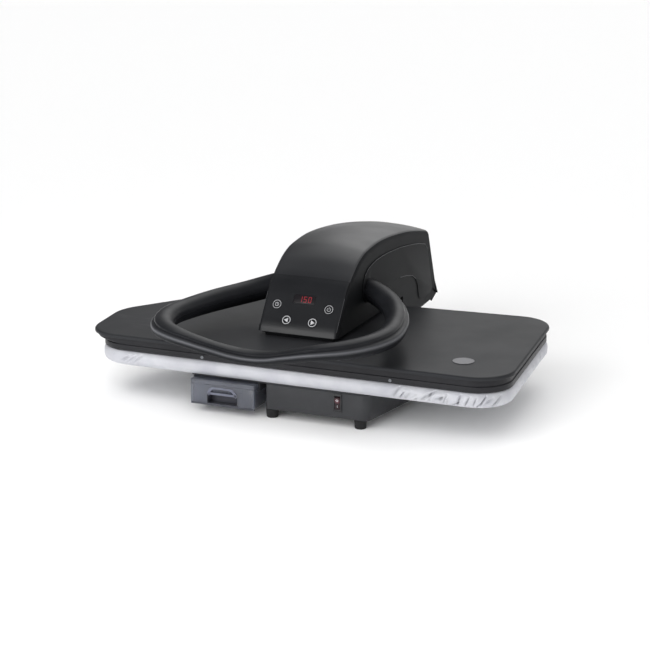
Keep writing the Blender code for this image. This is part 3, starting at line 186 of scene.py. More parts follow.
# Materials, each named for the real one
def makePlatenEnamel():
    # Stove-enamelled steel: a satin charcoal sheet whose faint orange peel spreads the light
    tree, shader, place = startMaterial("platen", "enamelledPlaten", "323439", 0.4,
                                        {"Specular IOR Level": 0.085})
    ramp = mottle(tree, shader, place, "323336", "363739", 90)
    smudge(tree, shader, place, 0.37, 0.42, 80)
    grain(tree, shader, place, 2.5, 0.02, 0.2)
    # A painted sheen near the nose: a lighter patch broken into fine streaks inside one soft spot
    sheenPatch = {"middle": (-0.272, 0.105, 0.11), "core": 0.012, "reach": 0.095, "turn": 0.35, "colour": "5e5f64"}
    spot = addNode(tree, "ShaderNodeMapping", {"Vector": place, "Location": -at(*sheenPatch["middle"])})
    flat = addNode(tree, "ShaderNodeVectorMath", {0: spot, 1: (1, 1.6, 0)}, operation="MULTIPLY")
    reach = addNode(tree, "ShaderNodeVectorMath", {0: flat}, operation="LENGTH")
    inside = addNode(tree, "ShaderNodeMapRange", {"Value": reach, "From Min": sheenPatch["core"],
                                                  "From Max": sheenPatch["reach"], "To Min": 1.0, "To Max": 0.0})
    sheenStreakSpace = addNode(tree, "ShaderNodeMapping", {"Vector": place, "Rotation": (0, 0, sheenPatch["turn"]),
                                                "Scale": (0.35, 1.5, 1.0)})
    streaks = addNode(tree, "ShaderNodeTexNoise", {"Vector": sheenStreakSpace, "Scale": 60.0, "Detail": 6.0,
                                                   "Roughness": 0.7})
    broken = addNode(tree, "ShaderNodeMapRange", {"Value": streaks, "From Min": 0.5, "From Max": 0.72,
                                                  "To Min": 0.0, "To Max": 0.5})
    mask = addNode(tree, "ShaderNodeMath", {0: inside, 1: broken}, operation="MULTIPLY")
    withSheen = addNode(tree, "ShaderNodeMix", {0: mask, 6: ramp, 7: hexColour(sheenPatch["colour"])}, data_type="RGBA")
    setInputs(tree, shader, {"Base Color": withSheen})


def makeHoodFinish():  # moulded ABS, satin black: the housing's crown, darker towards its foot
    tree, shader, place = startMaterial("hood", "mouldedHood", "28292c", 0.37, {"Specular IOR Level": 0.6})
    # Painted shade: below the 'high' height the colour darkens towards the 'foot' tone at the housing's foot
    fade = {"low": 0.182, "high": 0.216, "foot": "1d1e21"}
    ramp = mottle(tree, shader, place, "26272a", "2a2b2e", 60)
    parts = addNode(tree, "ShaderNodeSeparateXYZ", {"Vector": place})
    upward = addNode(tree, "ShaderNodeMapRange", {"Value": parts.outputs["Z"], "From Min": fade["low"],
                                                  "From Max": fade["high"], "To Min": 0.0, "To Max": 1.0})
    blended = addNode(tree, "ShaderNodeMix", {0: upward, 6: hexColour(fade["foot"]), 7: ramp},
                      data_type="RGBA")
    setInputs(tree, shader, {"Base Color": blended})
    smudge(tree, shader, place, 0.34, 0.39, 50)
    grain(tree, shader, place, 2.0, 0.01, 0.15)


def makeGripFinishes():
    # Soft-touch coated ABS: deep black, with a painted highlight along its outer ridge. The under shell is
    # rougher, and a darker copy of the colour as painted shade
    grips = {"grip": ("softTouchGrip", "222326", 0.36, 0.13, "202124", "252629"),
             "gripUnder": ("shadedUnderGrip", "1b1c1f", 0.55, 0.08, "191a1d", "1e1f22")}
    for key, (name, colour, roughness, specular, darker, lighter) in grips.items():
        tree, shader, place = startMaterial(key, name, colour, roughness, {"Specular IOR Level": specular})
        ramp = mottle(tree, shader, place, darker, lighter, 40)
        # Painted highlight: a lighter grey mixed in where the handle's attribute marks the ridge
        ridgeHighlight = addNode(tree, "ShaderNodeAttribute", attribute_name="ridgeHighlight")
        highlighted = addNode(tree, "ShaderNodeMix", {0: ridgeHighlight.outputs["Fac"], 6: ramp, 7: hexColour("636468")},
                         data_type="RGBA")
        setInputs(tree, shader, {"Base Color": highlighted})
        if key == "grip":
            smudge(tree, shader, place, 0.33, 0.39, 30)
        grain(tree, shader, place, 1.5, 0.015, 0.2)


def makeSilverCloth():  # aluminised cotton: silver coating over a plain weave
    tree, shader, place = startMaterial("cloth", "aluminisedCotton", "dcdde2", 0.5,
                                        {"Metallic": 0.2, "Sheen Weight": 0.25, "Sheen Roughness": 0.4})
    cloudy = addNode(tree, "ShaderNodeTexNoise", {"Vector": place, "Scale": 22.0, "Detail": 4.0})
    tone = addNode(tree, "ShaderNodeValToRGB", {"Fac": cloudy})
    for stop, position, colour in zip(tone.color_ramp.elements, (0.32, 0.68), ("c3c4cc", "d5d6db")):
        stop.position, stop.color = position, hexColour(colour)
    weave = addNode(tree, "ShaderNodeUVMap", uv_map="weave").outputs["UV"]
    # The real 0.35 mm threads are drawn at 1.1 mm to show
    warp, weft = (addNode(tree, "ShaderNodeTexWave", {"Vector": weave, "Scale": 145.0, "Distortion": 0.6},
                          wave_type="BANDS", bands_direction=direction).outputs["Fac"] for direction in "XY")
    threads = addNode(tree, "ShaderNodeMath", {0: warp, 1: weft}, operation="MULTIPLY")
    shade = addNode(tree, "ShaderNodeMapRange", {"Value": threads, "To Min": 0.93, "To Max": 1.0})
    fold = addNode(tree, "ShaderNodeAttribute", attribute_name="fold").outputs["Fac"]  # depth in a gather
    # Painted shade: the cloth darkens with the depth of each gather
    hollow = addNode(tree, "ShaderNodeMapRange", {"Value": fold, "From Min": 0.12, "From Max": 1.1,
                                                  "To Min": 1.0, "To Max": 0.5})
    weaveAndCreaseShade = addNode(tree, "ShaderNodeMath", {0: shade, 1: hollow}, operation="MULTIPLY")
    tint = addNode(tree, "ShaderNodeVectorMath", {0: tone, "Scale": weaveAndCreaseShade}, operation="SCALE")
    setInputs(tree, shader, {"Base Color": tint})
    ripple = addNode(tree, "ShaderNodeTexNoise", {"Vector": place, "Scale": 70.0, "Detail": 3.0})
    soft = addNode(tree, "ShaderNodeBump", {"Height": ripple, "Strength": 0.35, "Distance": 0.0012})
    woven = addNode(tree, "ShaderNodeBump", {"Height": threads, "Strength": 0.35, "Distance": 0.00025,
                                             "Normal": soft})
    setInputs(tree, shader, {"Normal": woven})


def makeAluminium():  # die-cast aluminium, ground flat: bright metal with fine grinding scratches along X
    tree, shader, place = startMaterial("aluminium", "groundAluminium", "c9cbcd", 0.3, {"Metallic": 1.0})
    stretch = addNode(tree, "ShaderNodeMapping", {"Vector": place, "Scale": (0.04, 1.0, 1.0)})
    mottle(tree, shader, stretch, "bfc1c4", "d2d3d5", 2)
    smudge(tree, shader, stretch, 0.28, 0.36, 3)
    grain(tree, shader, stretch, 1.0, 0.01, 0.3)


def makeRockerTint():  # smoke-tinted rocker, with a dull red lamp behind its upper half
    tree, shader, place = startMaterial("rocker", "tintedRocker", "26181b", 0.25, {"Specular IOR Level": 0.4})
    lamp = {"middle": (switchX, 0.0117, 0.0450), "core": 0.002, "reach": 0.006, "power": 0.2,
            "colour": "d8808c"}
    mottle(tree, shader, place, "22161a", "2c1c20", 6)
    spot = addNode(tree, "ShaderNodeMapping", {"Vector": place, "Location": -at(*lamp["middle"])})
    reach = addNode(tree, "ShaderNodeVectorMath", {0: spot}, operation="LENGTH")
    glow = addNode(tree, "ShaderNodeMapRange", {"Value": reach, "From Min": lamp["core"],
                                                "From Max": lamp["reach"], "To Min": lamp["power"],
                                                "To Max": 0.0})
    setInputs(tree, shader, {"Emission Color": hexColour(lamp["colour"]), "Emission Strength": glow})
    grain(tree, shader, place, 2.0, 0.02, 0.2)


def makePlastics():
    # Phenolic rim: a duller black moulding that carries the heat guard
    plainFinish("rim", "phenolicRim", "28282b", 0.42, {"Specular IOR Level": 0.2},
                ("262629", "2b2b2e", 30), relief=(0.9, 0.03, 0.4))
    # The hood's ABS with a spark-eroded grain, on the flat side covers
    plainFinish("side", "grainedSideCover", "1c1d1f", 0.6, {"Specular IOR Level": 0.12},
                ("1a1b1d", "1f2022", 40), relief=(0.9, 0.04, 0.4), cells=True)
    # Polycarbonate control film: glossy black, hard-coated, with a few fingerprints in its gloss
    plainFinish("film", "glossControlFilm", "1d1e21", 0.34, {"Specular IOR Level": 0.5},
                ("1b1c1f", "1f2023", 60), (0.33, 0.37, 50), (8.0, 0.005, 0.1))
    # Charcoal ABS casing with a fine leathery moulding grain, drawn a little coarser than the real 0.4 mm
    plainFinish("casing", "grainedCasing", "323336", 0.5, {"Specular IOR Level": 0.4},
                ("2f3033", "36373a", 35), (0.46, 0.58, 18), (0.9, 0.05, 0.5), cells=True)
    # Smoke-tinted polystyrene, clear and injection moulded: grey see-through walls with a glossy face
    plainFinish("smoke", "smokeTinted", "a9adba", 0.12, {"Transmission Weight": 0.8, "IOR": 1.45},
                ("a2a6b4", "b0b4c0", 28), relief=(6.0, 0.05, 0.2))
    # The same plastic where it is doubled and in shade: a dark smoky grey
    plainFinish("smokeDark", "smokeInShade", "44454d", 0.3, {"Specular IOR Level": 0.3},
                ("404149", "4a4b54", 14), relief=(6.0, 0.05, 0.2))
    # Pale strips as painted highlights where its edges and ribs gather the light: a paler frosted grey
    plainFinish("smokeLight", "smokeHighlight", "83869a", 0.3, {"Transmission Weight": 0.3},
                ("7d8093", "8b8ea1", 9), relief=(3.0, 0.03, 0.2))
    # Bead along the seams: the same black painted grey as a painted highlight, where the seams catch the
    # light
    plainFinish("bead", "highlightBead", "4c4d50", 0.4, {"Specular IOR Level": 0.5},
                ("48494c", "525356", 9), relief=(1.0, 0.01, 0.2))
    # Dark red acrylic display filter
    plainFinish("lens", "displayFilter", "1b191c", 0.34, {"Specular IOR Level": 0.5},
                ("1a181b", "1d1a1e", 10), relief=(4.0, 0.01, 0.15))
    # Glowing segments behind the filter
    plainFinish("segment", "litSegment", "8c2730", 0.4,
                {"Emission Color": hexColour("e23a46"), "Emission Strength": 0.3}, ("86242c", "952c36", 1))
    # Key tops, satin polycarbonate
    plainFinish("key", "satinKeyTop", "1a1a1c", 0.3, {}, ("18181a", "1f1f22", 5), relief=(0.6, 0.01, 0.3))


def makeMetals():
    # Zinc-plated steel: pale grey metal with a faint cloudy passivation
    plainFinish("steel", "zincPlatedSteel", "a9abae", 0.34, {"Metallic": 1.0},
                ("9c9ea3", "b6b8ba", 12), (0.28, 0.44, 6), (1.2, 0.01, 0.25))
    # The rim's screws: the same plating, darker
    plainFinish("screw", "darkerZinc", "7b7d81", 0.45, {"Metallic": 1.0},
                ("74767a", "828488", 3), relief=(1.0, 0.01, 0.25))
    # Oil-tempered spring wire: dark steel with a thin film of grease
    plainFinish("spring", "springWire", "5a5c60", 0.28, {"Metallic": 1.0},
                ("4e5054", "67696d", 5), relief=(0.8, 0.01, 0.3))
    # Silver-lacquered disc: pale grey metal lacquer with fine flake
    plainFinish("disc", "silverLacquer", "7c7c80", 0.45, {"Metallic": 0.2},
                ("76767a", "838387", 1.2), relief=(0.7, 0.01, 0.25))


def makeSoftFinishes():
    # Moulded rubber: the dull, slightly dusty black of feet and cable glands
    plainFinish("rubber", "mouldedRubber", "161617", 0.78, {},
                ("131314", "1e1e1f", 6), relief=(0.6, 0.05, 0.5))
    # Pressed wool felt: fuzzy warm grey insulation
    plainFinish("felt", "pressedFelt", "8d877c", 0.95, {"Sheen Weight": 0.5},
                ("7d776c", "9c968b", 3), relief=(0.9, 0.3, 0.7))
    # Glass-fibre circuit board with green solder resist
    plainFinish("board", "solderResist", "1f5a34", 0.4, {}, ("1a4f2c", "27683e", 4),
                relief=(1.0, 0.02, 0.4), cells=True)
    # Pad-printed white ink, a little thin at its edges
    plainFinish("ink", "printedInk", "d4d5d8", 0.5, {}, ("c6c7ca", "dcdde0", 1), relief=(0.5, 0.01, 0.3))
    # Silicone hose: milky, slightly glossy
    plainFinish("hose", "siliconeHose", "c3c2bc", 0.42, {"Subsurface Weight": 0.1},
                ("b9b8b2", "cdccc6", 10), relief=(2.0, 0.02, 0.2))


makePlatenEnamel()
makeHoodFinish()
makeGripFinishes()
makeSilverCloth()
makeAluminium()
makeRockerTint()
makePlastics()
makeMetals()
makeSoftFinishes()
print("materials made:", len(materials))


# Small tools for meshes; the short distances below are merging tolerances in metres
def loft(rings, closed=False):  # rings with equal counts, joined one to the next, capped unless closed
    builder = bmesh.new()
    rows = [[builder.verts.new(point) for point in ring] for ring in rings]
    pairs = list(zip(rows, rows[1:]))
    if closed:
        pairs.append((rows[-1], rows[0]))
    else:
        builder.faces.new(rows[0])
        builder.faces.new(rows[-1])
    for first, second in pairs:
        for i in range(len(first)):
            j = (i + 1) % len(first)
            builder.faces.new((first[i], first[j], second[j], second[i]))
    return builder


def asObject(name, builder):
    mesh = bpy.data.meshes.new(name)
    builder.to_mesh(mesh)
    builder.free()
    thing = bpy.data.objects.new(name, mesh)
    scene.collection.objects.link(thing)
    return thing


def addTo(whole, builder):  # one shape joins another
    part = bpy.data.meshes.new("part")
    builder.to_mesh(part)
    builder.free()
    whole.from_mesh(part)
    bpy.data.meshes.remove(part)


def evaluatedMesh(thing):
    depsgraph = bpy.context.evaluated_depsgraph_get()
    return bpy.data.meshes.new_from_object(thing.evaluated_get(depsgraph), depsgraph=depsgraph)


def bake(piece):  # the evaluated shape becomes the piece's own mesh
    mesh = evaluatedMesh(piece)
    piece.modifiers.clear()
    old, piece.data = piece.data, mesh
    bpy.data.meshes.remove(old)


def finishPiece(piece, body, replaced, angle):
    piece.data.shade_smooth()
    piece.data.set_sharp_from_angle(angle=math.radians(angle))
    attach(piece, body)
    if replaced:
        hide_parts(*replaced)
    return piece


def newPiece(name, builder, kind, body, replaced=(), bevel=None, angle=35, wall=None):
    bmesh.ops.remove_doubles(builder, verts=builder.verts, dist=0.000005)
    bmesh.ops.recalc_face_normals(builder, faces=builder.faces)
    piece = asObject(name, builder)
    piece.data.materials.append(materials[kind])
    if wall:
        thick = piece.modifiers.new("wall", "SOLIDIFY")
        thick.thickness, thick.offset, thick.use_even_offset = wall, -1.0, True
    if bevel:
        edge = piece.modifiers.new("edge", "BEVEL")
        edge.width, edge.segments = bevel
        edge.limit_method, edge.angle_limit = "ANGLE", math.radians(32)
        edge.use_clamp_overlap, edge.harden_normals = True, False
    if piece.modifiers:
        bake(piece)
    return finishPiece(piece, body, replaced, angle)


def solidCopy(node):  # a CAD node's loose triangles, merged into plain faces
    builder = bmesh.new()
    builder.from_mesh(nodes[node].data)
    bmesh.ops.remove_doubles(builder, verts=builder.verts, dist=0.00001)
    bmesh.ops.dissolve_limit(builder, angle_limit=math.radians(1), verts=builder.verts, edges=builder.edges)
    return builder


def softened(node, name, kind, width=0.0006, segments=2):
    # A copy of a CAD node with its corners rounded, which stands in its place
    return newPiece(name, solidCopy(node), kind, nodes[node]["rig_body"], (node,),
                    bevel=(width, segments))


def carve(piece, builders):  # cuts holes in a piece
    whole = bmesh.new()
    for builder in builders:
        bmesh.ops.recalc_face_normals(builder, faces=builder.faces)
        addTo(whole, builder)
    cutter = asObject("cutter", whole)
    cut = piece.modifiers.new("cut", "BOOLEAN")
    cut.operation, cut.solver, cut.object = "DIFFERENCE", "EXACT", cutter
    bake(piece)
    bpy.data.objects.remove(cutter, do_unlink=True)
    piece.data.shade_smooth()
    piece.data.set_sharp_from_angle(angle=math.radians(35))


def block(low, high):
    builder = bmesh.new()
    low, high = Vector(low), Vector(high)
    bmesh.ops.create_cube(builder, size=1.0, matrix=Matrix.Translation((low + high) / 2)
                          @ Matrix.Diagonal((high - low).to_4d()))
    return builder


def rod(start, end, radius, sides=48):
    builder = bmesh.new()
    start, end = Vector(start), Vector(end)
    along = end - start
    place = Matrix.Translation((start + end) / 2) @ along.to_track_quat("Z", "Y").to_matrix().to_4x4()
    bmesh.ops.create_cone(builder, cap_ends=True, segments=sides, radius1=radius, radius2=radius,
                          depth=along.length, matrix=place)
    return builder


def circle(x, y, radius, sides=40):
    return [(x + radius * math.cos(2 * math.pi * i / sides), y + radius * math.sin(2 * math.pi * i / sides))
            for i in range(sides)]


def turned(profile, place, direction, sides=48):  # radius and height pairs spun about a direction
    turn = Matrix.Translation(place) @ Vector(direction).to_track_quat("Z", "Y").to_matrix().to_4x4()
    pinhole = 0.00002  # keeps the rings at the axis apart until doubles are merged
    return loft([[turn @ Vector((x, y, height)) for x, y in circle(0, 0, max(radius, pinhole), sides)]
                 for radius, height in profile])


def softProfile(points, radius=0.0004, steps=4):  # an open line with its corners rounded
    line = [Vector(points[0])]
    for before, corner, after in zip(points, points[1:], points[2:]):
        before, corner, after = Vector(before), Vector(corner), Vector(after)
        reach = min(radius, (corner - before).length * 0.45, (after - corner).length * 0.45)
        start = corner + (before - corner).normalized() * reach
        end = corner + (after - corner).normalized() * reach
        for i in range(steps + 1):
            t = i / steps
            line.append(start * (1 - t) ** 2 + corner * 2 * t * (1 - t) + end * t * t)
    line.append(Vector(points[-1]))
    return [tuple(point) for point in line]


def flatShape(outlines, low, high, place):  # flat outlines, the rest of them holes, given thickness
    curve = bpy.data.curves.new("outline", "CURVE")
    curve.dimensions, curve.fill_mode, curve.extrude = "2D", "BOTH", (high - low) / 2
    for outline in outlines:
        spline = curve.splines.new("POLY")
        spline.points.add(len(outline) - 1)
        for point, (x, y) in zip(spline.points, outline):
            point.co = (x, y, 0, 1)
        spline.use_cyclic_u = True
    holder = bpy.data.objects.new("outline", curve)
    scene.collection.objects.link(holder)
    mesh = evaluatedMesh(holder)
    bpy.data.objects.remove(holder, do_unlink=True)
    builder = bmesh.new()
    builder.from_mesh(mesh)
    bpy.data.meshes.remove(mesh)
    bmesh.ops.remove_doubles(builder, verts=builder.verts, dist=0.000002)
    shift = Matrix.Translation((0, 0, (low + high) / 2))
    bmesh.ops.transform(builder, matrix=place @ shift, verts=builder.verts)
    return builder


def rectangle(x1, y1, x2, y2):
    return [(x1, y1), (x2, y1), (x2, y2), (x1, y2)]


def roundedOutline(corners, inset=0.0, steps=14):
    # Corners as (x, y, radius) anticlockwise, drawn in by the inset; a concave corner's radius grows instead
    count, edges, outline = len(corners), [], []
    for i in range(count):
        start = Vector(corners[i][:2])
        along = (Vector(corners[(i + 1) % count][:2]) - start).normalized()
        edges.append((start + Vector((-along.y, along.x)) * inset, along))
    for i in range(count):
        (start, before), (meet, after) = edges[i - 1], edges[i]
        cross = before.x * after.y - before.y * after.x
        apart = meet - start
        corner = start + before * ((apart.x * after.y - apart.y * after.x) / cross)
        turn = math.atan2(cross, before.dot(after))
        side = 1 if turn > 0 else -1
        radius = max(corners[i][2] - side * inset, 0.00002)
        begin = corner - before * radius * math.tan(abs(turn) / 2)
        centre = begin + Vector((-before.y, before.x)) * radius * side
        spoke = begin - centre
        angle = math.atan2(spoke.y, spoke.x)
        for k in range(steps + 1):
            a = angle + turn * k / steps
            outline.append((centre.x + radius * math.cos(a), centre.y + radius * math.sin(a)))
    return outline


def ringAt(outline, height):
    return [at(x, y, height) for x, y in outline]


def smoothPath(points, steps):  # a smooth run through the points
    ends = [points[0] * 2 - points[1]] + points + [points[-1] * 2 - points[-2]]
    path = []
    for i in range(1, len(ends) - 2):
        before, start, end, after = ends[i - 1:i + 3]
        for j in range(steps):
            t = j / steps
            path.append((start * 2 + (end - before) * t + (before * 2 - start * 5 + end * 4 - after) * t * t
                         + (start * 3 - before - end * 3 + after) * t * t * t) / 2)
    path.append(points[-1])
    return path


def startTree(name, sizes):  # a geometry tree with its named sizes as inputs
    tree = bpy.data.node_groups.new(name, "GeometryNodeTree")
    tree.interface.new_socket("Geometry", in_out="INPUT", socket_type="NodeSocketGeometry")
    for label, value in sizes.items():
        kind = "NodeSocketInt" if isinstance(value, int) else "NodeSocketFloat"
        tree.interface.new_socket(label, in_out="INPUT", socket_type=kind).default_value = value
    tree.interface.new_socket("Geometry", in_out="OUTPUT", socket_type="NodeSocketGeometry")
    return tree, addNode(tree, "NodeGroupInput").outputs


def endTree(tree, geometry, kind):
    whole = addNode(tree, "GeometryNodeRealizeInstances", {"Geometry": geometry})
    coated = addNode(tree, "GeometryNodeSetMaterial", {"Geometry": whole, "Material": materials[kind]})
    addNode(tree, "NodeGroupOutput", {"Geometry": coated})


def grow(name, builder, tree, sizes, body, replaced):
    # Runs a geometry tree on a mesh and keeps the result as a plain mesh
    piece = asObject(name, builder)
    modifier = piece.modifiers.new("grow", "NODES")
    modifier.node_group = tree
    for item in tree.interface.items_tree:
        if item.in_out == "INPUT" and item.name in sizes:
            modifier[item.identifier] = sizes[item.name]
    bake(piece)
    return finishPiece(piece, body, replaced, 35)


# Outlines of the platen and the pad under it, as (x, y, corner radius)
platenCorners = [(-0.347, 0, 0.062), (0.393, 0, 0.062), (0.352, 0.381, 0.060), (-0.230, 0.338, 0.100),
                 (-0.360, 0.152, 0.080)]
noseDrawnIn = 0.014  # the pad ends short of the platen at the nose
padCorners = [(x + (noseDrawnIn if i in (0, 4) else 0), y, r) for i, (x, y, r) in enumerate(platenCorners)]


# Upper platen: enamelled cover over a two-step rim
def makePlatenCover():
    sizes = {"round": 0.0035, "roundSteps": 7, "hold": 0.004, "wall": 0.0025, "hem": 0.0004,
             "hemRise": 0.0005}
    low, high = skinBox[0].z, skinBox[1].z
    rings = []
    for offset in (sizes["wall"], 0):  # the inner surface, then the outer one
        layer = [ringAt(roundedOutline(platenCorners, offset or sizes["hem"]), low),
                 ringAt(roundedOutline(platenCorners, offset), low + sizes["hemRise"])]
        for i in range(sizes["roundSteps"] + 1):
            angle = math.pi / 2 * i / sizes["roundSteps"]
            inset = sizes["round"] * (1 - math.cos(angle)) + offset
            rise = high - offset - sizes["round"] * (1 - math.sin(angle))
            layer.append(ringAt(roundedOutline(platenCorners, inset), rise))
        inset = sizes["round"] + sizes["hold"] + offset
        layer.append(ringAt(roundedOutline(platenCorners, inset), high - offset))
        rings += layer if rings else reversed(layer)
    newPiece("platenCover", loft(rings), "platen", "head", ("top_skin",), angle=30)


def makePlatenRim():
    sizes = {"inset": 0.004, "step": 0.002, "stepShare": 0.46, "flareShare": 0.70, "wall": 0.0026,
             "edge": 0.0009, "stepSlope": 0.0004, "innerCut": 0.002}
    low, high = (corner.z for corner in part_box("heat_guard"))
    step, flare = (low + (high - low) * sizes[share] for share in ("stepShare", "flareShare"))
    outer, upper = sizes["inset"], sizes["inset"] + sizes["step"]
    inner, cut = upper + sizes["wall"], sizes["innerCut"]
    profile = softProfile([(inner, low + cut), (inner, low), (outer, low), (outer, step),
                           (upper, step + sizes["stepSlope"]), (upper, (step + flare) / 2), (upper, flare),
                           (upper, high), (inner, high), (inner, low + 2 * cut)], sizes["edge"])
    rings = []
    for inset, z in profile:  # above its step the rim widens from the pad's outline to the cover's
        rise = min(max((z - step) / (flare - step), 0), 1)
        spread = rise * rise * (3 - 2 * rise) * min(max((inner - inset) / (inner - upper), 0), 1)
        pairs = zip(roundedOutline(padCorners, inset), roundedOutline(platenCorners, inset))
        rings.append([at(x1 + (x2 - x1) * spread, y1 + (y2 - y1) * spread, z)
                      for (x1, y1), (x2, y2) in pairs])
    newPiece("platenRim", loft(rings, closed=True), "rim", "head", ("heat_guard",))


makePlatenCover()
makePlatenRim()
print("platen made")


# Sole plate: ground aluminium with steam holes, set out by a geometry tree
def makeSole():
    sizes = {"Hole radius": 0.0025, "Spread": 0.497, "Depth": 0.150, "Columns": 9, "Rows": 3}
    plate = {"inset": 0.0089, "edge": 0.0008, "flat": 0.01, "holesMiddle": 0.169, "drill": 0.03}
    low, high = (corner.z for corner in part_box("soleplate"))
    tree, given = startTree("steamHoles", sizes)
    grid = addNode(tree, "GeometryNodeMeshGrid", {"Size X": given["Spread"], "Size Y": given["Depth"],
                                                  "Vertices X": given["Columns"],
                                                  "Vertices Y": given["Rows"]})
    drill = addNode(tree, "GeometryNodeMeshCylinder", {"Vertices": 20, "Radius": given["Hole radius"],
                                                       "Depth": plate["drill"]})
    moved = addNode(tree, "GeometryNodeSetPosition", {"Geometry": grid,
                                                      "Offset": at(0, plate["holesMiddle"], low)})
    drills = addNode(tree, "GeometryNodeInstanceOnPoints", {"Points": moved, "Instance": drill})
    holed = addNode(tree, "GeometryNodeMeshBoolean", {"Mesh 1": given["Geometry"], "Mesh 2": drills},
                    operation="DIFFERENCE", solver="EXACT")
    endTree(tree, holed, "aluminium")
    inset, far = plate["inset"], plate["inset"] + plate["flat"]
    profile = softProfile([(far, low), (inset, low), (inset, high), (far, high)], plate["edge"])
    builder = loft([ringAt(roundedOutline(padCorners, a), z) for a, z in profile])
    bmesh.ops.recalc_face_normals(builder, faces=builder.faces)
    grow("solePlate", builder, tree, sizes, "head", ("soleplate",))
    print("sole plate made")


makeSole()


# Padded board: silver cloth over foam, swelled by a cloth run, then gathered where the photograph shows it
padSizes = {"spacing": 0.0055, "startInset": 0.0022, "tuck": 0.0105, "flap": 0.042, "crown": 0.0008,
            "cap": 0.0026, "pressure": 4.0, "frames": 20, "thickness": 0.0012, "webInset": 0.046,
            "webSpacing": 0.016, "foldDepth": 0.0032, "crownRun": 0.045, "clearance": 0.0001}
sideShares = [(0.92, 0.0), (0.55, 0.03), (0.28, 0.10), (0.12, 0.20), (0.03, 0.32), (0.0, 0.44), (0.0, 0.56),
              (0.04, 0.68), (0.14, 0.79), (0.32, 0.89), (0.58, 0.96), (0.9, 1.0)]  # of tuck and of height
underInsets, topInsets = (padSizes["flap"], 0.030, 0.020, 0.0145), (0.013, 0.0185, 0.026, 0.036)
# Gathers run along the edge from and to a distance, each with its own start, lean, length, depth and width
gathers = {"front": {"run": (-0.155, 0.014), "start": (0.06, 0.36), "lean": (0.002, 0.018),
                     "length": (0.2, 0.7), "deep": (0.0026, 0.0056), "wide": (0.0026, 0.0056),
                     "apart": (0.004, 0.014), "limit": 0.9},
           "side": {"run": (0.006, 0.29), "start": (0.03, 0.5), "lean": (-0.004, 0.010),
                    "length": (0.2, 0.42), "deep": (0.0014, 0.0034), "wide": (0.0030, 0.0046),
                    "apart": (0.010, 0.024), "limit": 1.0}}
hemPuckers = {"count": 64, "lean": 0.004, "top": (0.18, 0.38), "deep": (0.0006, 0.0014), "wide": 0.0046}
noseFolds = {"count": 3, "apart": 0.011, "start": 0.34, "lower": 0.05, "lean": 0.016, "end": 0.70,
             "higher": 0.06, "deep": 0.0026, "wide": 0.0040}
# Where the mesh is made finer for the creases, and how far in and along the edge they press
pressed = {"cell": 0.02, "finerDepth": 0.014, "finerFrom": 0.01, "finerTo": 0.93, "deepest": 0.016,
           "beyond": 0.02}


def evenOutline(corners, spacing):  # points, outward directions and distances at even steps
    line = [Vector(point) for point in roundedOutline(corners, 0, 40)]
    lengths = [(line[(i + 1) % len(line)] - line[i]).length for i in range(len(line))]
    whole = sum(lengths)
    count = round(whole / spacing)
    places, index, walked = [], 0, 0.0
    for k in range(count):
        goal = whole * k / count
        while walked + lengths[index] < goal:
            walked += lengths[index]
            index += 1
        start, end = line[index], line[(index + 1) % len(line)]
        places.append(start.lerp(end, (goal - walked) / max(lengths[index], 1e-9)))
    result = []
    for k in range(count):
        along = (places[(k + 1) % count] - places[k - 1]).normalized()
        result.append((places[k], Vector((along.y, -along.x)), whole * k / count))
    return result


def makeCreases(outline):  # creases as (start along, start share, end along, end share, depth, width)
    def alongAt(x, y):
        return min(outline, key=lambda item: (item[0] - Vector((x, y))).length)[2]
    frontRight, rightSide, nose = alongAt(0.36, 0.0), alongAt(0.392, 0.05), alongAt(-0.28, 0.0)
    creases, chance = [], random.Random(11)
    for corner, kind in ((frontRight, "front"), (rightSide, "side")):
        gather = gathers[kind]
        s = corner + gather["run"][0]
        while s < corner + gather["run"][1]:
            start = chance.uniform(*gather["start"])
            creases.append((s, start, s + chance.uniform(*gather["lean"]),
                            min(gather["limit"], start + chance.uniform(*gather["length"])),
                            chance.uniform(*gather["deep"]), chance.uniform(*gather["wide"])))
            s += chance.uniform(*gather["apart"])
    for i in range(noseFolds["count"]):  # slanted folds near the nose
        s = nose + i * noseFolds["apart"]
        creases.append((s, noseFolds["start"] - noseFolds["lower"] * i, s + noseFolds["lean"],
                        noseFolds["end"] + noseFolds["higher"] * i, noseFolds["deep"], noseFolds["wide"]))
    for i in range(hemPuckers["count"]):  # small puckers where the hem pulls, all the way round
        s = outline[-1][2] * (i + chance.uniform(-0.3, 0.3)) / hemPuckers["count"]
        creases.append((s, 0.02, s + chance.uniform(-hemPuckers["lean"], hemPuckers["lean"]),
                        chance.uniform(*hemPuckers["top"]), chance.uniform(*hemPuckers["deep"]),
                        hemPuckers["wide"]))
    return creases, [(frontRight - 0.16, frontRight + 0.03), (rightSide, rightSide + 0.30),
                     (nose - 0.01, nose + 0.05)]  # and the stretches that they crease


def webSpots():  # an even web of points inside the pad's top
    inner, step = roundedOutline(padCorners, padSizes["webInset"], 30), padSizes["webSpacing"]
    spots, y = [], min(point[1] for point in inner)
    while y < max(point[1] for point in inner):
        crossings = [x1 + (x2 - x1) * (y - y1) / (y2 - y1)
                     for (x1, y1), (x2, y2) in zip(inner, inner[1:] + inner[:1]) if (y1 - y) * (y2 - y) < 0]
        if len(crossings) >= 2:
            x = min(crossings)
            while x < max(crossings):
                spots.append(at(x, y).xy)
                x += step
        y += step
    return spots


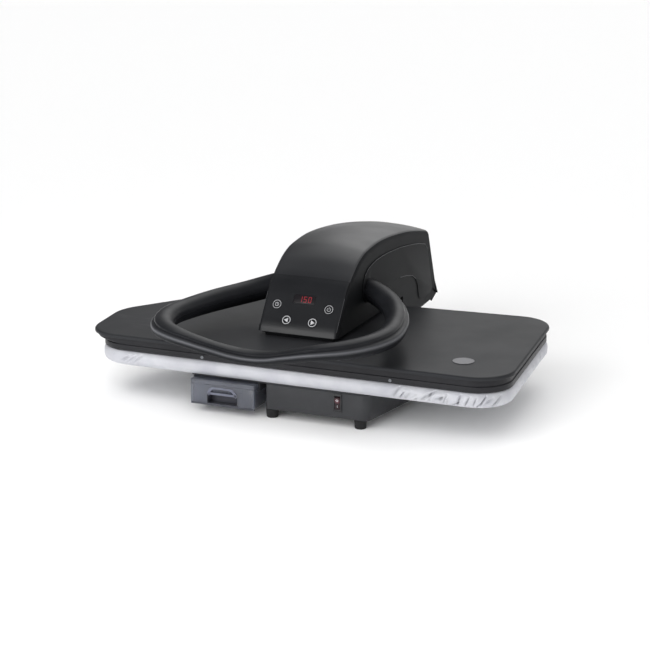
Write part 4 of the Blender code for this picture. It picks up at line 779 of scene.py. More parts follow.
def sewPad(outline, levels, low, high):  # rows from the flap to the top's edge, then a web over its middle
    count, crown, builder = len(outline), padSizes["crown"], bmesh.new()
    rows = []
    for inset, share in levels:
        rise = low + (high - crown - low) * share
        if share == 1.0:
            rise += crown * min(1, inset / padSizes["crownRun"])
        rows.append([builder.verts.new(at(*(place - out * inset), rise)) for place, out, s in outline])
    for first, second in zip(rows, rows[1:]):
        for i in range(count):
            j = (i + 1) % count
            builder.faces.new((first[i], first[j], second[j], second[i]))
    border = [vert.co.xy for vert in rows[-1]]
    loop = [(i, (i + 1) % count) for i in range(count)]
    points, edges, faces, sources, *rest = delaunay_2d_cdt(border + webSpots(), loop, [], 1, 1e-6)
    web = [rows[-1][source[0]] if source and source[0] < count else builder.verts.new((*point, high))
           for point, source in zip(points, sources)]
    for face in faces:
        builder.faces.new([web[i] for i in face])
    builder.faces.new(list(reversed(rows[0]))).material_index = 1  # closes the shape for the cloth run
    bmesh.ops.recalc_face_normals(builder, faces=builder.faces)
    builder.verts.index_update()
    held = [v.index for row in rows[:3] + rows[-2:] for v in row]
    held += [v.index for v in web if v not in rows[-1]]
    sideRows = [[v.index for v in row] for row in rows]
    return asObject("padCover", builder), sideRows, held


def swellPad(piece, held, low, high):  # the cloth run, its shift kept under a cap
    mesh = piece.data
    rest = [v.co.copy() for v in mesh.vertices]
    moved = rest
    pins = piece.vertex_groups.new(name="held")
    pins.add(held, 1.0, "REPLACE")
    cloth = piece.modifiers.new("swell", "CLOTH")
    settings = cloth.settings
    settings.quality, settings.mass = 6, 0.2
    settings.tension_stiffness = settings.compression_stiffness = 12
    settings.bending_stiffness = 0.4
    settings.use_pressure, settings.uniform_pressure_force = True, padSizes["pressure"]
    settings.vertex_group_mass = "held"
    settings.effector_weights.gravity = 0
    cloth.collision_settings.use_collision = False
    cloth.point_cache.frame_start, cloth.point_cache.frame_end = 1, padSizes["frames"]
    for step in range(1, padSizes["frames"] + 1):
        scene.frame_set(step)
    depsgraph = bpy.context.evaluated_depsgraph_get()
    moved = [v.co.copy() for v in piece.evaluated_get(depsgraph).to_mesh().vertices]
    piece.evaluated_get(depsgraph).to_mesh_clear()
    piece.modifiers.clear()
    piece.vertex_groups.clear()
    scene.frame_set(1)
    most = 0.0
    for vert, before, after in zip(mesh.vertices, rest, moved):
        shift = after - before
        if shift.length > padSizes["cap"]:
            shift *= padSizes["cap"] / shift.length
        most = max(most, shift.length)
        vert.co = before + shift
        vert.co.z = min(max(vert.co.z, low), high - padSizes["clearance"])
    print("pad swelled, most", round(most * 1000, 2), "mm")


def layWeave(mesh, outline, levels, sideRows, height):  # weave coordinates: round the sides, flat on top
    uv = mesh.uv_layers.new(name="weave")
    alongOf = {index: outline[i][2] for row in sideRows for i, index in enumerate(row)}
    rowOf = {index: j for j, row in enumerate(sideRows) for index in row}
    whole = outline[-1][2] + padSizes["spacing"]
    up = [0.0]
    for (a1, h1), (a2, h2) in zip(levels, levels[1:]):
        up.append(up[-1] + math.hypot(a2 - a1, (h2 - h1) * height))
    firstTop = len(levels) - len(topInsets)
    for face in mesh.polygons:
        corners = list(face.vertices)
        onTop = any(i not in alongOf for i in corners) or all(rowOf[i] >= firstTop for i in corners)
        wraps = not onTop and max(alongOf[i] for i in corners) - min(alongOf[i] for i in corners) > 0.5
        for loopIndex, i in zip(face.loop_indices, corners):
            if onTop:
                uv.data[loopIndex].uv = mesh.vertices[i].co.xy
            else:
                s = alongOf[i] + (whole if wraps and alongOf[i] < 0.5 else 0)
                uv.data[loopIndex].uv = (s, up[rowOf[i]])


def pressGathers(piece, outline, low, height):  # a finer mesh where the creases run, then the creases in it
    creases, zones = makeCreases(outline)
    mesh, cell, cells = piece.data, pressed["cell"], {}
    for index, (place, out, s) in enumerate(outline):
        cells.setdefault((round(place.x / cell), round(place.y / cell)), []).append(index)

    def nearest(spot):  # the closest outline point, found through coarse cells
        cx, cy = round(spot.x / cell), round(spot.y / cell)
        found = [i for dx in (-1, 0, 1) for dy in (-1, 0, 1) for i in cells.get((cx + dx, cy + dy), ())]
        return min(found or [0], key=lambda i: (outline[i][0] - spot).length_squared)

    def onSide(co):  # distance round the edge, share of the height, depth inward and the way out
        flat = Vector((co.x - midX, co.y - frontY))
        place, out, s = outline[nearest(flat)]
        s += (flat - place).dot(Vector((-out.y, out.x)))
        return s, (co.z - low) / height, (place - flat).dot(out), out

    builder = bmesh.new()
    builder.from_mesh(mesh)
    chosen = set()
    for face in builder.faces:
        s, share, depth, out = onSide(face.calc_center_median())
        reached = depth < pressed["finerDepth"] and pressed["finerFrom"] < share < pressed["finerTo"]
        if reached and any(start < s < end for start, end in zones):
            chosen.update(face.edges)
    bmesh.ops.subdivide_edges(builder, edges=list(chosen), cuts=1, use_grid_fill=True)
    builder.to_mesh(mesh)
    builder.free()
    # The depth of each crease is kept as 'fold', which the cloth's material turns into painted shade
    folds = mesh.attributes.new("fold", "FLOAT", "POINT").data
    for index, vert in enumerate(mesh.vertices):
        s, share, depth, out = onSide(vert.co)
        if depth > pressed["deepest"]:
            continue
        push = 0.0
        for s1, h1, s2, h2, deep, wide in creases:
            if not s1 - pressed["beyond"] < s < s2 + pressed["beyond"]:
                continue
            ax, ay, by = s1, h1 * height, h2 * height
            dx, dy, z = s2 - s1, by - ay, share * height
            t = min(max(((s - ax) * dx + (z - ay) * dy) / (dx ** 2 + dy ** 2), 0), 1)
            gap = math.hypot(s - ax - dx * t, z - ay - dy * t)
            fade = math.sin(math.pi * (0.12 + 0.76 * t))
            hollow, shoulder = math.exp(-(gap / wide * 1.9) ** 2), math.exp(-(gap / wide / 1.3) ** 2)
            push += fade * deep * (hollow - 0.35 * shoulder)
        edge = min(1, share * 6, (1 - share) * 8)
        vert.co.x -= out.x * push * edge
        vert.co.y -= out.y * push * edge
        folds[index].value = push * edge / padSizes["foldDepth"]


def makePad():
    low, high = (corner.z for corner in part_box("pad_cover"))
    outline = evenOutline(padCorners, padSizes["spacing"])
    levels = [(inset, 0.0) for inset in underInsets]
    levels += [(padSizes["tuck"] * share * (1 - height / 2) + padSizes["startInset"], height)
               for share, height in sideShares]
    levels += [(inset, 1.0) for inset in topInsets]
    piece, sideRows, held = sewPad(outline, levels, low, high)
    swellPad(piece, held, low, high)
    layWeave(piece.data, outline, levels, sideRows, high - low)
    builder = bmesh.new()  # the face that closed it below goes, then the cloth gets a finer mesh
    builder.from_mesh(piece.data)
    bmesh.ops.delete(builder, geom=[f for f in builder.faces if f.material_index == 1], context="FACES")
    builder.to_mesh(piece.data)
    builder.free()
    finer = piece.modifiers.new("finer", "SUBSURF")
    finer.levels = finer.render_levels = 1
    finer.use_limit_surface = False
    bake(piece)
    pressGathers(piece, outline, low, high - low)
    thick = piece.modifiers.new("thick", "SOLIDIFY")
    thick.thickness, thick.offset = padSizes["thickness"], -1.0
    bake(piece)
    piece.data.materials.clear()
    piece.data.materials.append(materials["cloth"])
    finishPiece(piece, "base", ("pad_cover", "foam_pad"), 60)
    print("pad cover made:", sum(len(face.vertices) - 2 for face in piece.data.polygons), "triangles")


makePad()


# Housing: one surface over the arch, split by fine seams into crown, flanks and the control film's panel
hoodSizes = {"halfWidth": 0.0715, "edge": 0.007, "crown": 0.0100, "wall": 0.003, "seam": 0.0003,
             "seamY": 0.151, "panelReach": 0.0685, "frontY": 0.090, "stepY": 0.388, "hold": 0.0016,
             "rowStep": 0.010, "rowClear": 0.0012, "rearRound": 0.007, "boreRadius": 0.0086,
             "boreReach": 0.09, "lipY": 0.556, "lipZ": 0.083, "rest": 0.0003, "chin": (0.0912, 0.1262),
             "shoulderRun": 0.042, "shoulderZ": 0.2075}
panelLow, panelHigh = Vector((0.0930, 0.1316)), Vector((0.1281, 0.1815))
archPoints = [(0.141, 0.1960, 0.10), (0.151, 0.2043, 0.20), (0.163, 0.2132, 0.35), (0.185, 0.2270, 0.60),
              (0.208, 0.2362, 0.80), (0.230, 0.2405, 0.95), (0.276, 0.2440, 1), (0.322, 0.2425, 1),
              (0.370, 0.2380, 1), (0.420, 0.2315, 1), (0.470, 0.2220, 0.95)]  # y, z, share of the swell
rearPoints = [(0.5176, 0.2112), (0.566, 0.0850), (0.540, 0.0745)]
swellShares = {"shoulder": 0.80, "foot": 0.18}
panelUp = Vector((0, *(panelHigh - panelLow))).normalized()
panelOut = Vector((0, -panelUp.z, panelUp.y))
keyPlaces = {"key_down": (-0.0232, 0.0129), "key_up": (0.0232, 0.0129), "key_timer": (-0.0465, 0.0386),
             "key_power": (0.0465, 0.0386)}
keyHole, windowRise, windowHalf = 0.0082, 0.0518, (0.0193, 0.0078)


def onPanel(across, rise, out=0.0):
    return at(0, panelLow.x, panelLow.y) + Vector((across, 0, 0)) + panelUp * rise + panelOut * out


def panelFrame(across, rise, out=0.0):  # x across, y up the panel, z out of it
    turn = Matrix((Vector((1, 0, 0)), panelUp, panelOut)).transposed().to_4x4()
    return Matrix.Translation(onPanel(across, rise, out)) @ turn


def archProfile():  # the line over the arch, the index of its seam and its lowest height
    bottom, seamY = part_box("head_plinth")[1].z + hoodSizes["rest"], hoodSizes["seamY"]
    line = [(hoodSizes["frontY"], bottom, 0), (*hoodSizes["chin"], 0)]
    line += [(*panelLow.lerp(panelHigh, i / 6), 0) for i in range(6)]
    line += [tuple(point) for point in
             smoothPath([Vector((*panelHigh, 0))] + [Vector(point) for point in archPoints], 5)]
    archEnd, topShare = archPoints[-1][:2], archPoints[-1][2]
    shoulderZ, footZ = hoodSizes["shoulderZ"], rearPoints[1][1]
    shoulder, foot = swellShares["shoulder"], swellShares["foot"]
    for y, z in softProfile([archEnd] + rearPoints, hoodSizes["rearRound"], 6)[1:]:
        share = topShare + (shoulder - topShare) * min(1, (y - archEnd[0]) / hoodSizes["shoulderRun"])
        if z < shoulderZ:
            share = foot + (shoulder - foot) * max(0, (z - footZ) / (shoulderZ - footZ))
        line.append((y, z, share))
    steps = []
    for a, b in zip(line, line[1:]):  # long straight runs get more rows
        cuts = max(1, round(math.hypot(b[0] - a[0], b[1] - a[1]) / hoodSizes["rowStep"]))
        for i in range(cuts):
            steps.append(tuple(a[k] + (b[k] - a[k]) * i / cuts for k in range(3)))
    steps.append(line[-1])
    steps = [step for step in steps if abs(step[0] - seamY) > hoodSizes["rowClear"]]
    seam = next(i for i, step in enumerate(steps) if step[0] > seamY) - 1
    first, last = steps[seam], steps[seam + 1]
    length = math.hypot(last[0] - first[0], last[1] - first[1])
    middle, slit = (seamY - first[0]) / (last[0] - first[0]), hoodSizes["seam"] / 2 / length
    steps[seam + 1:seam + 1] = [tuple(first[k] + (last[k] - first[k]) * t for k in range(3))
                                for t in (middle - slit, middle + slit)]  # the panel stops at the first
    return steps, seam + 1, bottom


def hoodStations():  # places across the housing, each with how far it is drawn in
    half, edge, hold = hoodSizes["halfWidth"], hoodSizes["edge"], hoodSizes["hold"]
    gap, reach = hoodSizes["seam"], hoodSizes["panelReach"]
    right = [(half - edge + edge * math.sin(math.radians(a)), edge * (1 - math.cos(math.radians(a))))
             for a in (0, 12, 24, 46, 60, 75, 90)]
    right += [(x, edge * (1 - math.sqrt(1 - ((x - half + edge) / edge) ** 2)))
              for x in (reach - gap, reach + gap)]
    across = [(x, 0.0) for x in (0, 0.012, 0.024, 0.036, 0.047, 0.056)] + sorted(right)
    across.append((across[-1][0], across[-1][1] + hold))
    return [(-x, inset) for x, inset in reversed(across[1:])] + across


def makeHousing():
    line, seam, bottom = archProfile()
    stations = hoodStations()
    half, gap, reach = hoodSizes["halfWidth"], hoodSizes["seam"], hoodSizes["panelReach"]
    normals = []
    for i, point in enumerate(line):
        before, after = line[max(0, i - 1)], line[min(len(line) - 1, i + 1)]
        along = Vector((after[0] - before[0], after[1] - before[1])).normalized()
        normals.append(Vector((-along.y, along.x)))

    def ring(x, inset):
        crown = hoodSizes["crown"] * max(0, 1 - (x / half) ** 2)
        points = []
        for (y, z, share), out in zip(line, normals):
            spot = Vector((y, z)) + out * (crown * share - inset)
            points.append([spot.x, spot.y])
        points[0][1] = points[0][1] = bottom
        points[-1][1] = max(points[-1][1], rearPoints[-1][1])
        return [at(x, y, z) for y, z in points]

    def areaOf(x, k):  # which piece a face belongs to, none in a seam or at the crown's rear lip
        if (k < seam and abs(x - reach) < gap * 0.9) or (k == seam and x < reach):
            return None
        if x > reach:
            return "flank"
        if k < seam:
            return "panel"
        middleY = (line[k][0] + line[k + 1][0]) / 2
        return None if middleY < hoodSizes["lipY"] and line[k + 1][1] < hoodSizes["lipZ"] else "crown"

    rings = [ring(x, inset) for x, inset in stations]
    shapes = {"crown": bmesh.new(), "panel": bmesh.new(), "flank": bmesh.new()}
    for wanted, builder in shapes.items():
        grid = [[builder.verts.new(point) for point in row] for row in rings]
        for j in range(len(stations) - 1):
            x = abs(stations[j][0] + stations[j + 1][0]) / 2
            for k in range(len(line) - 1):
                if areaOf(x, k) == wanted:
                    builder.faces.new((grid[j][k], grid[j + 1][k], grid[j + 1][k + 1], grid[j][k + 1]))
        if wanted == "flank":
            for j, x in ((0, -half), (len(stations) - 1, half)):
                builder.faces.new(grid[j] + [builder.verts.new(at(x, hoodSizes["stepY"], z))
                                             for z in (rearPoints[-1][1], bottom)])
        bmesh.ops.delete(builder, geom=[v for v in builder.verts if not v.link_faces], context="VERTS")
    wall = hoodSizes["wall"]
    newPiece("housingCrown", shapes["crown"], "hood", "head", ("head_hood",),
             wall=wall, angle=28)
    sides = newPiece("housingFlanks", shapes["flank"], "side", "head", ("head_hood",),
                     wall=wall, angle=28)
    across = hoodSizes["boreReach"]
    carve(sides, [rod(at(-across, *gripAxis), at(across, *gripAxis), hoodSizes["boreRadius"])])
    film = newPiece("controlPanel", shapes["panel"], "film", "head", ("control_fascia",),
                    wall=wall, angle=28)
    holes = [rod(onPanel(x, rise, 0.006), onPanel(x, rise, -0.008), keyHole)
             for x, rise in keyPlaces.values()]
    window = block((-windowHalf[0], -windowHalf[1], -0.01), (*windowHalf, 0.01))
    bmesh.ops.transform(window, matrix=panelFrame(0, windowRise), verts=window.verts)
    carve(film, holes + [window])
    print("housing made")


makeHousing()


# Keys with their printed rings and signs
keySizes = {"radius": 0.0076, "proud": 0.0006, "flange": 0.001, "depth": 0.0033, "flangeDepth": 0.0043,
            "edge": 0.0005, "ring": 0.0073, "line": 0.0011, "thinShare": 0.6, "ink": 0.00006, "sunk": 0.00008,
            "arrowBack": 0.0026, "arrowHalf": 0.0040, "arrowTip": 0.0043, "sign": 0.0034, "clockHand": 0.0018}


def keySign(node, line):  # arrows for down and up, a clock, a power sign
    back, half, tip, radius = (keySizes[size] for size in ("arrowBack", "arrowHalf", "arrowTip", "sign"))
    if node in ("key_down", "key_up"):
        s = 1 if node == "key_up" else -1
        return [[[(-back * s, -half), (tip * s, 0), (-back * s, half)][::s]]]
    if node == "key_timer":
        return [[circle(0, 0, radius), circle(0, 0, radius - line)],
                [rectangle(-line / 2, 0, line / 2, 0.0024)],
                [rectangle(0, -line / 2, keySizes["clockHand"], line / 2)]]
    outer = [(radius * math.cos(a), radius * math.sin(a)) for a in
             [math.radians(130 + 280 * i / 30) for i in range(31)]]
    inner = [(x * 0.82, y * 0.82) for x, y in reversed(outer)]
    return [[outer + inner], [rectangle(-line / 2, 0.0006, line / 2, 0.0040)]]


def makeKeys():
    radius, proud, ring = keySizes["radius"], keySizes["proud"], keySizes["ring"]
    wide, depth, back = radius + keySizes["flange"], -keySizes["depth"], -keySizes["flangeDepth"]
    profile = softProfile([(0, proud - 0.0002), (radius * 0.6, proud - 0.0001), (radius, proud),
                           (radius, depth), (wide, depth), (wide, back), (0, back)], keySizes["edge"])
    for node, (across, rise) in keyPlaces.items():
        name = "key" + node[4:].capitalize()
        newPiece(name, turned(profile, onPanel(across, rise), panelOut), "key", node, (node,),
                 angle=40)
        line = keySizes["line"] * (1 if node in ("key_down", "key_up") else keySizes["thinShare"])
        printed, low = bmesh.new(), proud - keySizes["sunk"]
        for outlines in [[circle(0, 0, ring), circle(0, 0, ring - line)]] + keySign(node, line):
            addTo(printed, flatShape(outlines, low, low + keySizes["ink"] + keySizes["sunk"],
                                     panelFrame(across, rise)))
        newPiece(name + "Print", printed, "ink", node)


# The lit display: seven-bar digits just proud of the filter
def makeDisplay():
    softened("display_window", "displayFilter", "lens", 0.0004)
    digits = {"height": 0.0104, "width": 0.0056, "pitch": 0.0083, "bar": 0.0012, "trimShare": 0.18,
              "shown": "150", "shift": 0.001, "back": -0.0002, "front": 0.00004}
    parts = {"0": "abcdef", "1": "bc", "5": "afgcd"}
    h, w, b = digits["height"] / 2, digits["width"] / 2, digits["bar"]
    bars = {"a": (-w, h - b, w, h), "g": (-w, -b / 2, w, b / 2), "d": (-w, -h, w, -h + b),
            "f": (-w, 0, -w + b, h), "b": (w - b, 0, w, h), "e": (-w, -h, -w + b, 0), "c": (w - b, -h, w, 0)}
    lit, trim = bmesh.new(), b * digits["trimShare"]
    for index, digit in enumerate(digits["shown"]):
        x = (index - 1) * digits["pitch"] + digits["shift"]
        for part in parts[digit]:
            x1, y1, x2, y2 = bars[part]
            bar = block((x + x1 + trim, y1 + trim, digits["back"]),
                        (x + x2 - trim, y2 - trim, digits["front"]))
            bmesh.ops.transform(bar, matrix=panelFrame(0, windowRise), verts=bar.verts)
            addTo(lit, bar)
    newPiece("displayDigits", lit, "segment", "head")


makeKeys()
makeDisplay()
print("controls made")


# Loop handle: two soft-touch shells with a groove between them, and a soft valley along each upper shoulder
def makeHandle():
    sizes = {"halfWidth": 0.0195, "groove": 0.0002, "grooveHeight": 0.0001, "core": 0.0071, "steps": 7,
             "arc": 48, "wrap": 6, "outerValley": 0.20, "innerValley": 0.02, "valleyAngle": 33,
             "valleyWidth": 11, "ridgeHighlight": 6, "ridgeWidth": 10}
    half = [Vector(p) for p in (  # across, depth, height and half height of the grip, from root to nose
        (0.0740, *gripAxis, 0.0190), (0.1045, 0.211, 0.1650, 0.0195), (0.1350, 0.181, 0.1580, 0.0190),
        (0.1640, 0.122, 0.1560, 0.0185), (0.1810, 0.062, 0.1560, 0.0175), (0.1870, 0.012, 0.1570, 0.0170),
        (0.1790, -0.038, 0.1585, 0.0160), (0.1560, -0.080, 0.1590, 0.0145), (0.1200, -0.103, 0.1570, 0.0125),
        (0.0800, -0.102, 0.1475, 0.0115), (0.0400, -0.092, 0.1365, 0.0110), (0, -0.088, 0.1325, 0.0110))]
    path = smoothPath(half + [Vector((-p[0], p[1], p[2], p[3])) for p in reversed(half[:-1])], sizes["steps"])

    def section(side, halfHeight):  # the angles of its outer arc, and the whole outline
        inner, wide, groove = sizes["core"], sizes["halfWidth"], sizes["grooveHeight"]
        start = math.asin((groove + sizes["groove"]) / halfHeight)
        angles = [start + (math.pi - 2 * start) * i / sizes["arc"] for i in range(sizes["arc"] + 1)]
        outer = []
        for a in angles:
            lean = min(math.degrees(a), 180 - math.degrees(a)) - sizes["valleyAngle"]
            valley = sizes["outerValley" if a > math.pi / 2 else "innerValley"] if side > 0 else 0
            shrink = 1 - valley * math.exp(-(lean / sizes["valleyWidth"]) ** 2)
            outer.append((wide * shrink * math.cos(a), halfHeight * shrink * math.sin(a)))
        wrapStart = math.asin(groove / inner)
        wrap = [(inner * math.cos(a), inner * math.sin(a)) for a in
                [math.pi - wrapStart - (math.pi - 2 * wrapStart) * i / sizes["wrap"]
                 for i in range(sizes["wrap"] + 1)]]
        edge = wide - sizes["groove"]
        return angles, [(a, b * side) for a, b in [(edge, groove)] + outer + [(-edge, groove)] + wrap]

    unhighlighted = 999  # a lean far from the ridge
    for name, kind, side, node in (("gripTop", "grip", 1, "handle_top_shell"),
                                   ("gripUnder", "gripUnder", -1, "handle_bottom_shell")):
        rings = []
        for i, point in enumerate(path):
            along = Vector((1, 0, 0))
            if 0 < i < len(path) - 1:
                along = (path[i + 1].xyz - path[i - 1].xyz).normalized()
            across = along.cross(Vector((0, 0, 1))).normalized()
            up = across.cross(along)
            angles, outline = section(side, point[3])
            rings.append([at(*point.xyz) + across * a + up * b for a, b in outline])
        leans = [unhighlighted] + [180 - math.degrees(a) for a in angles] + [0]
        leans += [unhighlighted] * (sizes["wrap"] + 1)
        builder = loft(rings)
        builder.verts.ensure_lookup_table()
        # Painted highlight: a band stored per vertex round the ridge's lean, which the grip's material makes
        # lighter
        ridgeHighlight = builder.verts.layers.float.new("ridgeHighlight")
        for i, vert in enumerate(builder.verts):
            away = (leans[i % len(leans)] * side - sizes["ridgeHighlight"]) / sizes["ridgeWidth"]
            vert[ridgeHighlight] = math.exp(-away ** 2)
        newPiece(name, builder, kind, "handle", (node,), angle=40)
    print("handle made")


makeHandle()


# Base casing: a shallow tray with a lid, the tank's bay on its left
def makeBase():
    sizes = {"wall": 0.0025, "edge": 0.0012, "flange": 0.004, "foot": 0.006}
    corners = [(-0.022, 0.012, 0.004), (0.157, 0.012, 0.014), (0.180, 0.150, 0.060), (0.180, 0.430, 0.040),
               (0.060, 0.430, 0.012), (0.060, 0.516, 0.012), (-0.060, 0.516, 0.012), (-0.060, 0.430, 0.012),
               (-0.180, 0.430, 0.040), (-0.180, 0.156, 0.004), (-0.022, 0.156, 0.004)]  # x, y, corner radius
    low, high = (corner.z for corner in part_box("base_tray"))
    wall = sizes["wall"]
    profile = [(wall + sizes["flange"], low + wall), (wall, low + wall), (wall, high), (0, high), (0, low),
               (sizes["foot"], low)]
    rings = [ringAt(roundedOutline(corners, inset, 8), z)
             for inset, z in softProfile(profile, sizes["edge"], 3)]
    tray = newPiece("casingTray", loft(rings), "casing", "base", ("base_tray",))
    cuts = {"switch": (switchX, 0.0407), "switchHalf": (0.0066, 0.014), "hose": (-0.060, 0.026, 0.0041),
            "gland": (0.115, 0.036, 0.0078)}
    (x, z), (halfX, halfZ) = cuts["switch"], cuts["switchHalf"]
    holes = [block(at(x - halfX, 0.0, z - halfZ), at(x + halfX, 0.02, z + halfZ))]
    for (x, z, radius), start, end in ((cuts["hose"], 0.15, 0.165), (cuts["gland"], 0.42, 0.44)):
        holes.append(rod(at(x, start, z), at(x, end, z), radius, 24))
    carve(tray, holes)
    softened("base_deck", "casingLid", "casing", 0.0005)
    print("base casing made")


def makeFeet():
    sizes = {"tread": 0.0085, "bottom": 0.0095, "top": 0.0105, "bevel": 0.0012, "round": 0.0008}
    feet, names = bmesh.new(), [name for name in nodes if name.startswith("foot_")]
    for name in names:
        low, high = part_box(name)
        middle = (low + high) / 2
        profile = softProfile([(0, 0), (sizes["tread"], 0), (sizes["bottom"], sizes["bevel"]),
                               (sizes["top"], high.z), (0, high.z)], sizes["round"])
        addTo(feet, turned(profile, (middle.x, middle.y, 0), (0, 0, 1), 32))
    newPiece("rubberFeet", feet, "rubber", "base", names)
    print("feet made:", len(names))


def makeSwitch():
    softened("switch_bezel", "switchBezel", "film", 0.0005, 3)
    softened("rocker", "switchRocker", "rocker", 0.0005, 3)
    halves = {"upper": (0.0092, 0.0453, -0.288), "lower": (0.01066, 0.0350, 0.013)}  # y, z, lean of a face
    sizes = {"ring": 0.0021, "hollow": 0.0013, "barHalf": 0.0003, "barReach": 0.0019, "sunk": 0.00004,
             "proud": 0.00008}
    ring = [circle(0, 0, sizes["ring"]), circle(0, 0, sizes["hollow"])]
    bar = [rectangle(-sizes["barHalf"], -sizes["barReach"], sizes["barHalf"], sizes["barReach"])]
    signs, right = bmesh.new(), Vector((1, 0, 0))
    for half, outlines in (("upper", ring), ("lower", bar)):  # O above and I below
        y, z, lean = halves[half]
        up = Vector((0, lean, 1)).normalized()
        turn = Matrix((right, up, right.cross(up))).transposed().to_4x4()
        addTo(signs, flatShape(outlines, -sizes["sunk"], sizes["proud"],
                               Matrix.Translation(at(switchX, y, z)) @ turn))
    newPiece("rockerSigns", signs, "ink", "rocker")
    print("switch made")


makeBase()
makeFeet()
makeSwitch()


# Water tank and its lid, with a dark sheet as painted shade in the grip slot, and pale strips as painted
# highlights on its face
def makeTank():
    sizes = {"edge": 0.0009, "x": -0.093, "half": 0.0268, "low": 0.0172, "high": 0.0318, "front": -0.0017,
             "depth": 0.0146, "slotShadeSheet": 0.0003, "band": 0.0030, "bandShare": 0.12, "bandY": -0.0019,
             "bandHalf": 0.0002, "edgeShade": 0.0024, "edgeShadeInset": 0.0015, "edgeShadeRise": 0.0008, "edgeShadeProud": 0.0002,
             "edgeShadeHalf": 0.0001}
    for node, name in (("water_tank", "waterTank"), ("tank_lid", "tankLid")):
        softened(node, name, "smoke", sizes["edge"], 3)
    front, back = sizes["front"], sizes["front"] + sizes["depth"]
    slot = [(sizes["x"] + sizes["half"] * i, z) for i, z in
            ((-1, sizes["low"]), (-1, sizes["high"]), (1, sizes["high"]), (1, sizes["low"]))]
    # Painted shade: a dark sheet lines the grip slot where the recess falls in shadow
    slotShadeSheet = bmesh.new()
    for (x1, z1), (x2, z2) in zip(slot, slot[1:] + slot[:1]):
        slotShadeSheet.faces.new([slotShadeSheet.verts.new(at(*place)) for place in
                          ((x1, front, z1), (x2, front, z2), (x2, back, z2), (x1, back, z1))])
    slotShadeSheet.faces.new([slotShadeSheet.verts.new(at(x, back, z)) for x, z in slot])
    newPiece("tankSlotShade", slotShadeSheet, "smokeDark", "tank", wall=sizes["slotShadeSheet"])
    # Painted highlights: a pale arch over the slot and a pale brow along its top, thin strips on the face
    arch = [(-0.1200, 0.0325), (-0.1195, 0.0365), (-0.1150, 0.0425), (-0.1080, 0.0447), (-0.0800, 0.0447),
            (-0.0735, 0.0425), (-0.0680, 0.0365), (-0.0665, 0.0325)]
    outer = [tuple(p) for p in smoothPath([Vector(p) for p in arch], 6)]
    inner = [(x + (sizes["x"] - x) * sizes["bandShare"], z - sizes["band"]) for x, z in outer]
    brow = [(-0.1190, 0.0323), (-0.0670, 0.0323), (-0.0690, 0.0358), (-0.1170, 0.0358)]
    upright = Matrix.Rotation(math.pi / 2, 4, "X")
    for name, outline in (("tankArchHighlight", outer + inner[::-1]), ("tankSlotHighlight", brow)):
        band = flatShape([outline], -sizes["bandHalf"], sizes["bandHalf"],
                         Matrix.Translation(at(0, sizes["bandY"], 0)) @ upright)
        newPiece(name, band, "smokeLight", "tank")
    # Painted shade: a dark strip along the bottom edge, where the thick plastic looks dark from the front
    low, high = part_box("water_tank")  # the thick bottom edge looks dark from the front
    place = Matrix.Translation((0, low.y - sizes["edgeShadeProud"], low.z + sizes["edgeShadeRise"])) @ upright
    edge = rectangle(low.x + sizes["edgeShadeInset"], 0.0, high.x - sizes["edgeShadeInset"], sizes["edgeShade"])
    edgeShade = flatShape([edge], -sizes["edgeShadeHalf"], sizes["edgeShadeHalf"], place)
    newPiece("tankEdgeShade", edgeShade, "smokeDark", "tank")
    softened("filler_cap", "fillerCap", "rubber", 0.0006, 3)
    softened("tank_valve", "tankValve", "casing", 0.0003)
    print("tank made")


makeTank()


# Rim screws by a geometry tree: a round head with a cross cut in it on each seat, facing the seat's way
def makeScrews():
    sizes = {"Head radius": 0.0026, "Head height": 0.0010, "Slot": 0.0007}
    crossShare = 1.25  # the cross's length over the head's radius
    tree, given = startTree("crossHeadScrews", sizes)
    head = addNode(tree, "GeometryNodeMeshCylinder", {"Vertices": 28, "Radius": given["Head radius"],
                                                      "Depth": given["Head height"]})
    span = addNode(tree, "ShaderNodeMath", {0: given["Head radius"], 1: crossShare}, operation="MULTIPLY")
    lift = addNode(tree, "ShaderNodeMath", {0: given["Head height"], 1: 0.5}, operation="MULTIPLY")
    up = addNode(tree, "ShaderNodeCombineXYZ", {"Z": lift})
    cross = addNode(tree, "GeometryNodeMeshBoolean", {"Mesh 1": head}, operation="DIFFERENCE", solver="EXACT")
    for x, y in ((span, given["Slot"]), (given["Slot"], span)):
        size = addNode(tree, "ShaderNodeCombineXYZ", {"X": x, "Y": y, "Z": given["Head height"]})
        bar = addNode(tree, "GeometryNodeMeshCube", {"Size": size})
        raised = addNode(tree, "GeometryNodeTransform", {"Geometry": bar, "Translation": up})
        setInputs(tree, cross, {"Mesh 2": raised})
    facing = addNode(tree, "GeometryNodeInputNormal")
    turn = addNode(tree, "FunctionNodeAlignRotationToVector", {"Vector": facing}, axis="Z")
    store = addNode(tree, "GeometryNodeCaptureAttribute", {"Geometry": given["Geometry"]}, domain="FACE")
    store.capture_items.new("ROTATION", "turn")
    setInputs(tree, store, {"turn": turn})
    placed = addNode(tree, "GeometryNodeMeshToPoints", {"Mesh": store}, mode="FACES")
    spots = addNode(tree, "GeometryNodeInstanceOnPoints", {"Points": placed, "Instance": cross,
                                                           "Rotation": store.outputs["turn"]})
    endTree(tree, spots, "screw")
    seats, screws, half = bmesh.new(), ("rim_screw_left", "rim_screw_right"), 0.001
    for name in screws:  # a small face under each screw says where and which way
        middle = sum(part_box(name), Vector()) / 2
        seats.faces.new([seats.verts.new((middle.x + x, middle.y, middle.z + z))
                         for x, z in rectangle(-half, -half, half, half)])
    grow("rimScrews", seats, tree, sizes, "head", screws)
    print("screws made")


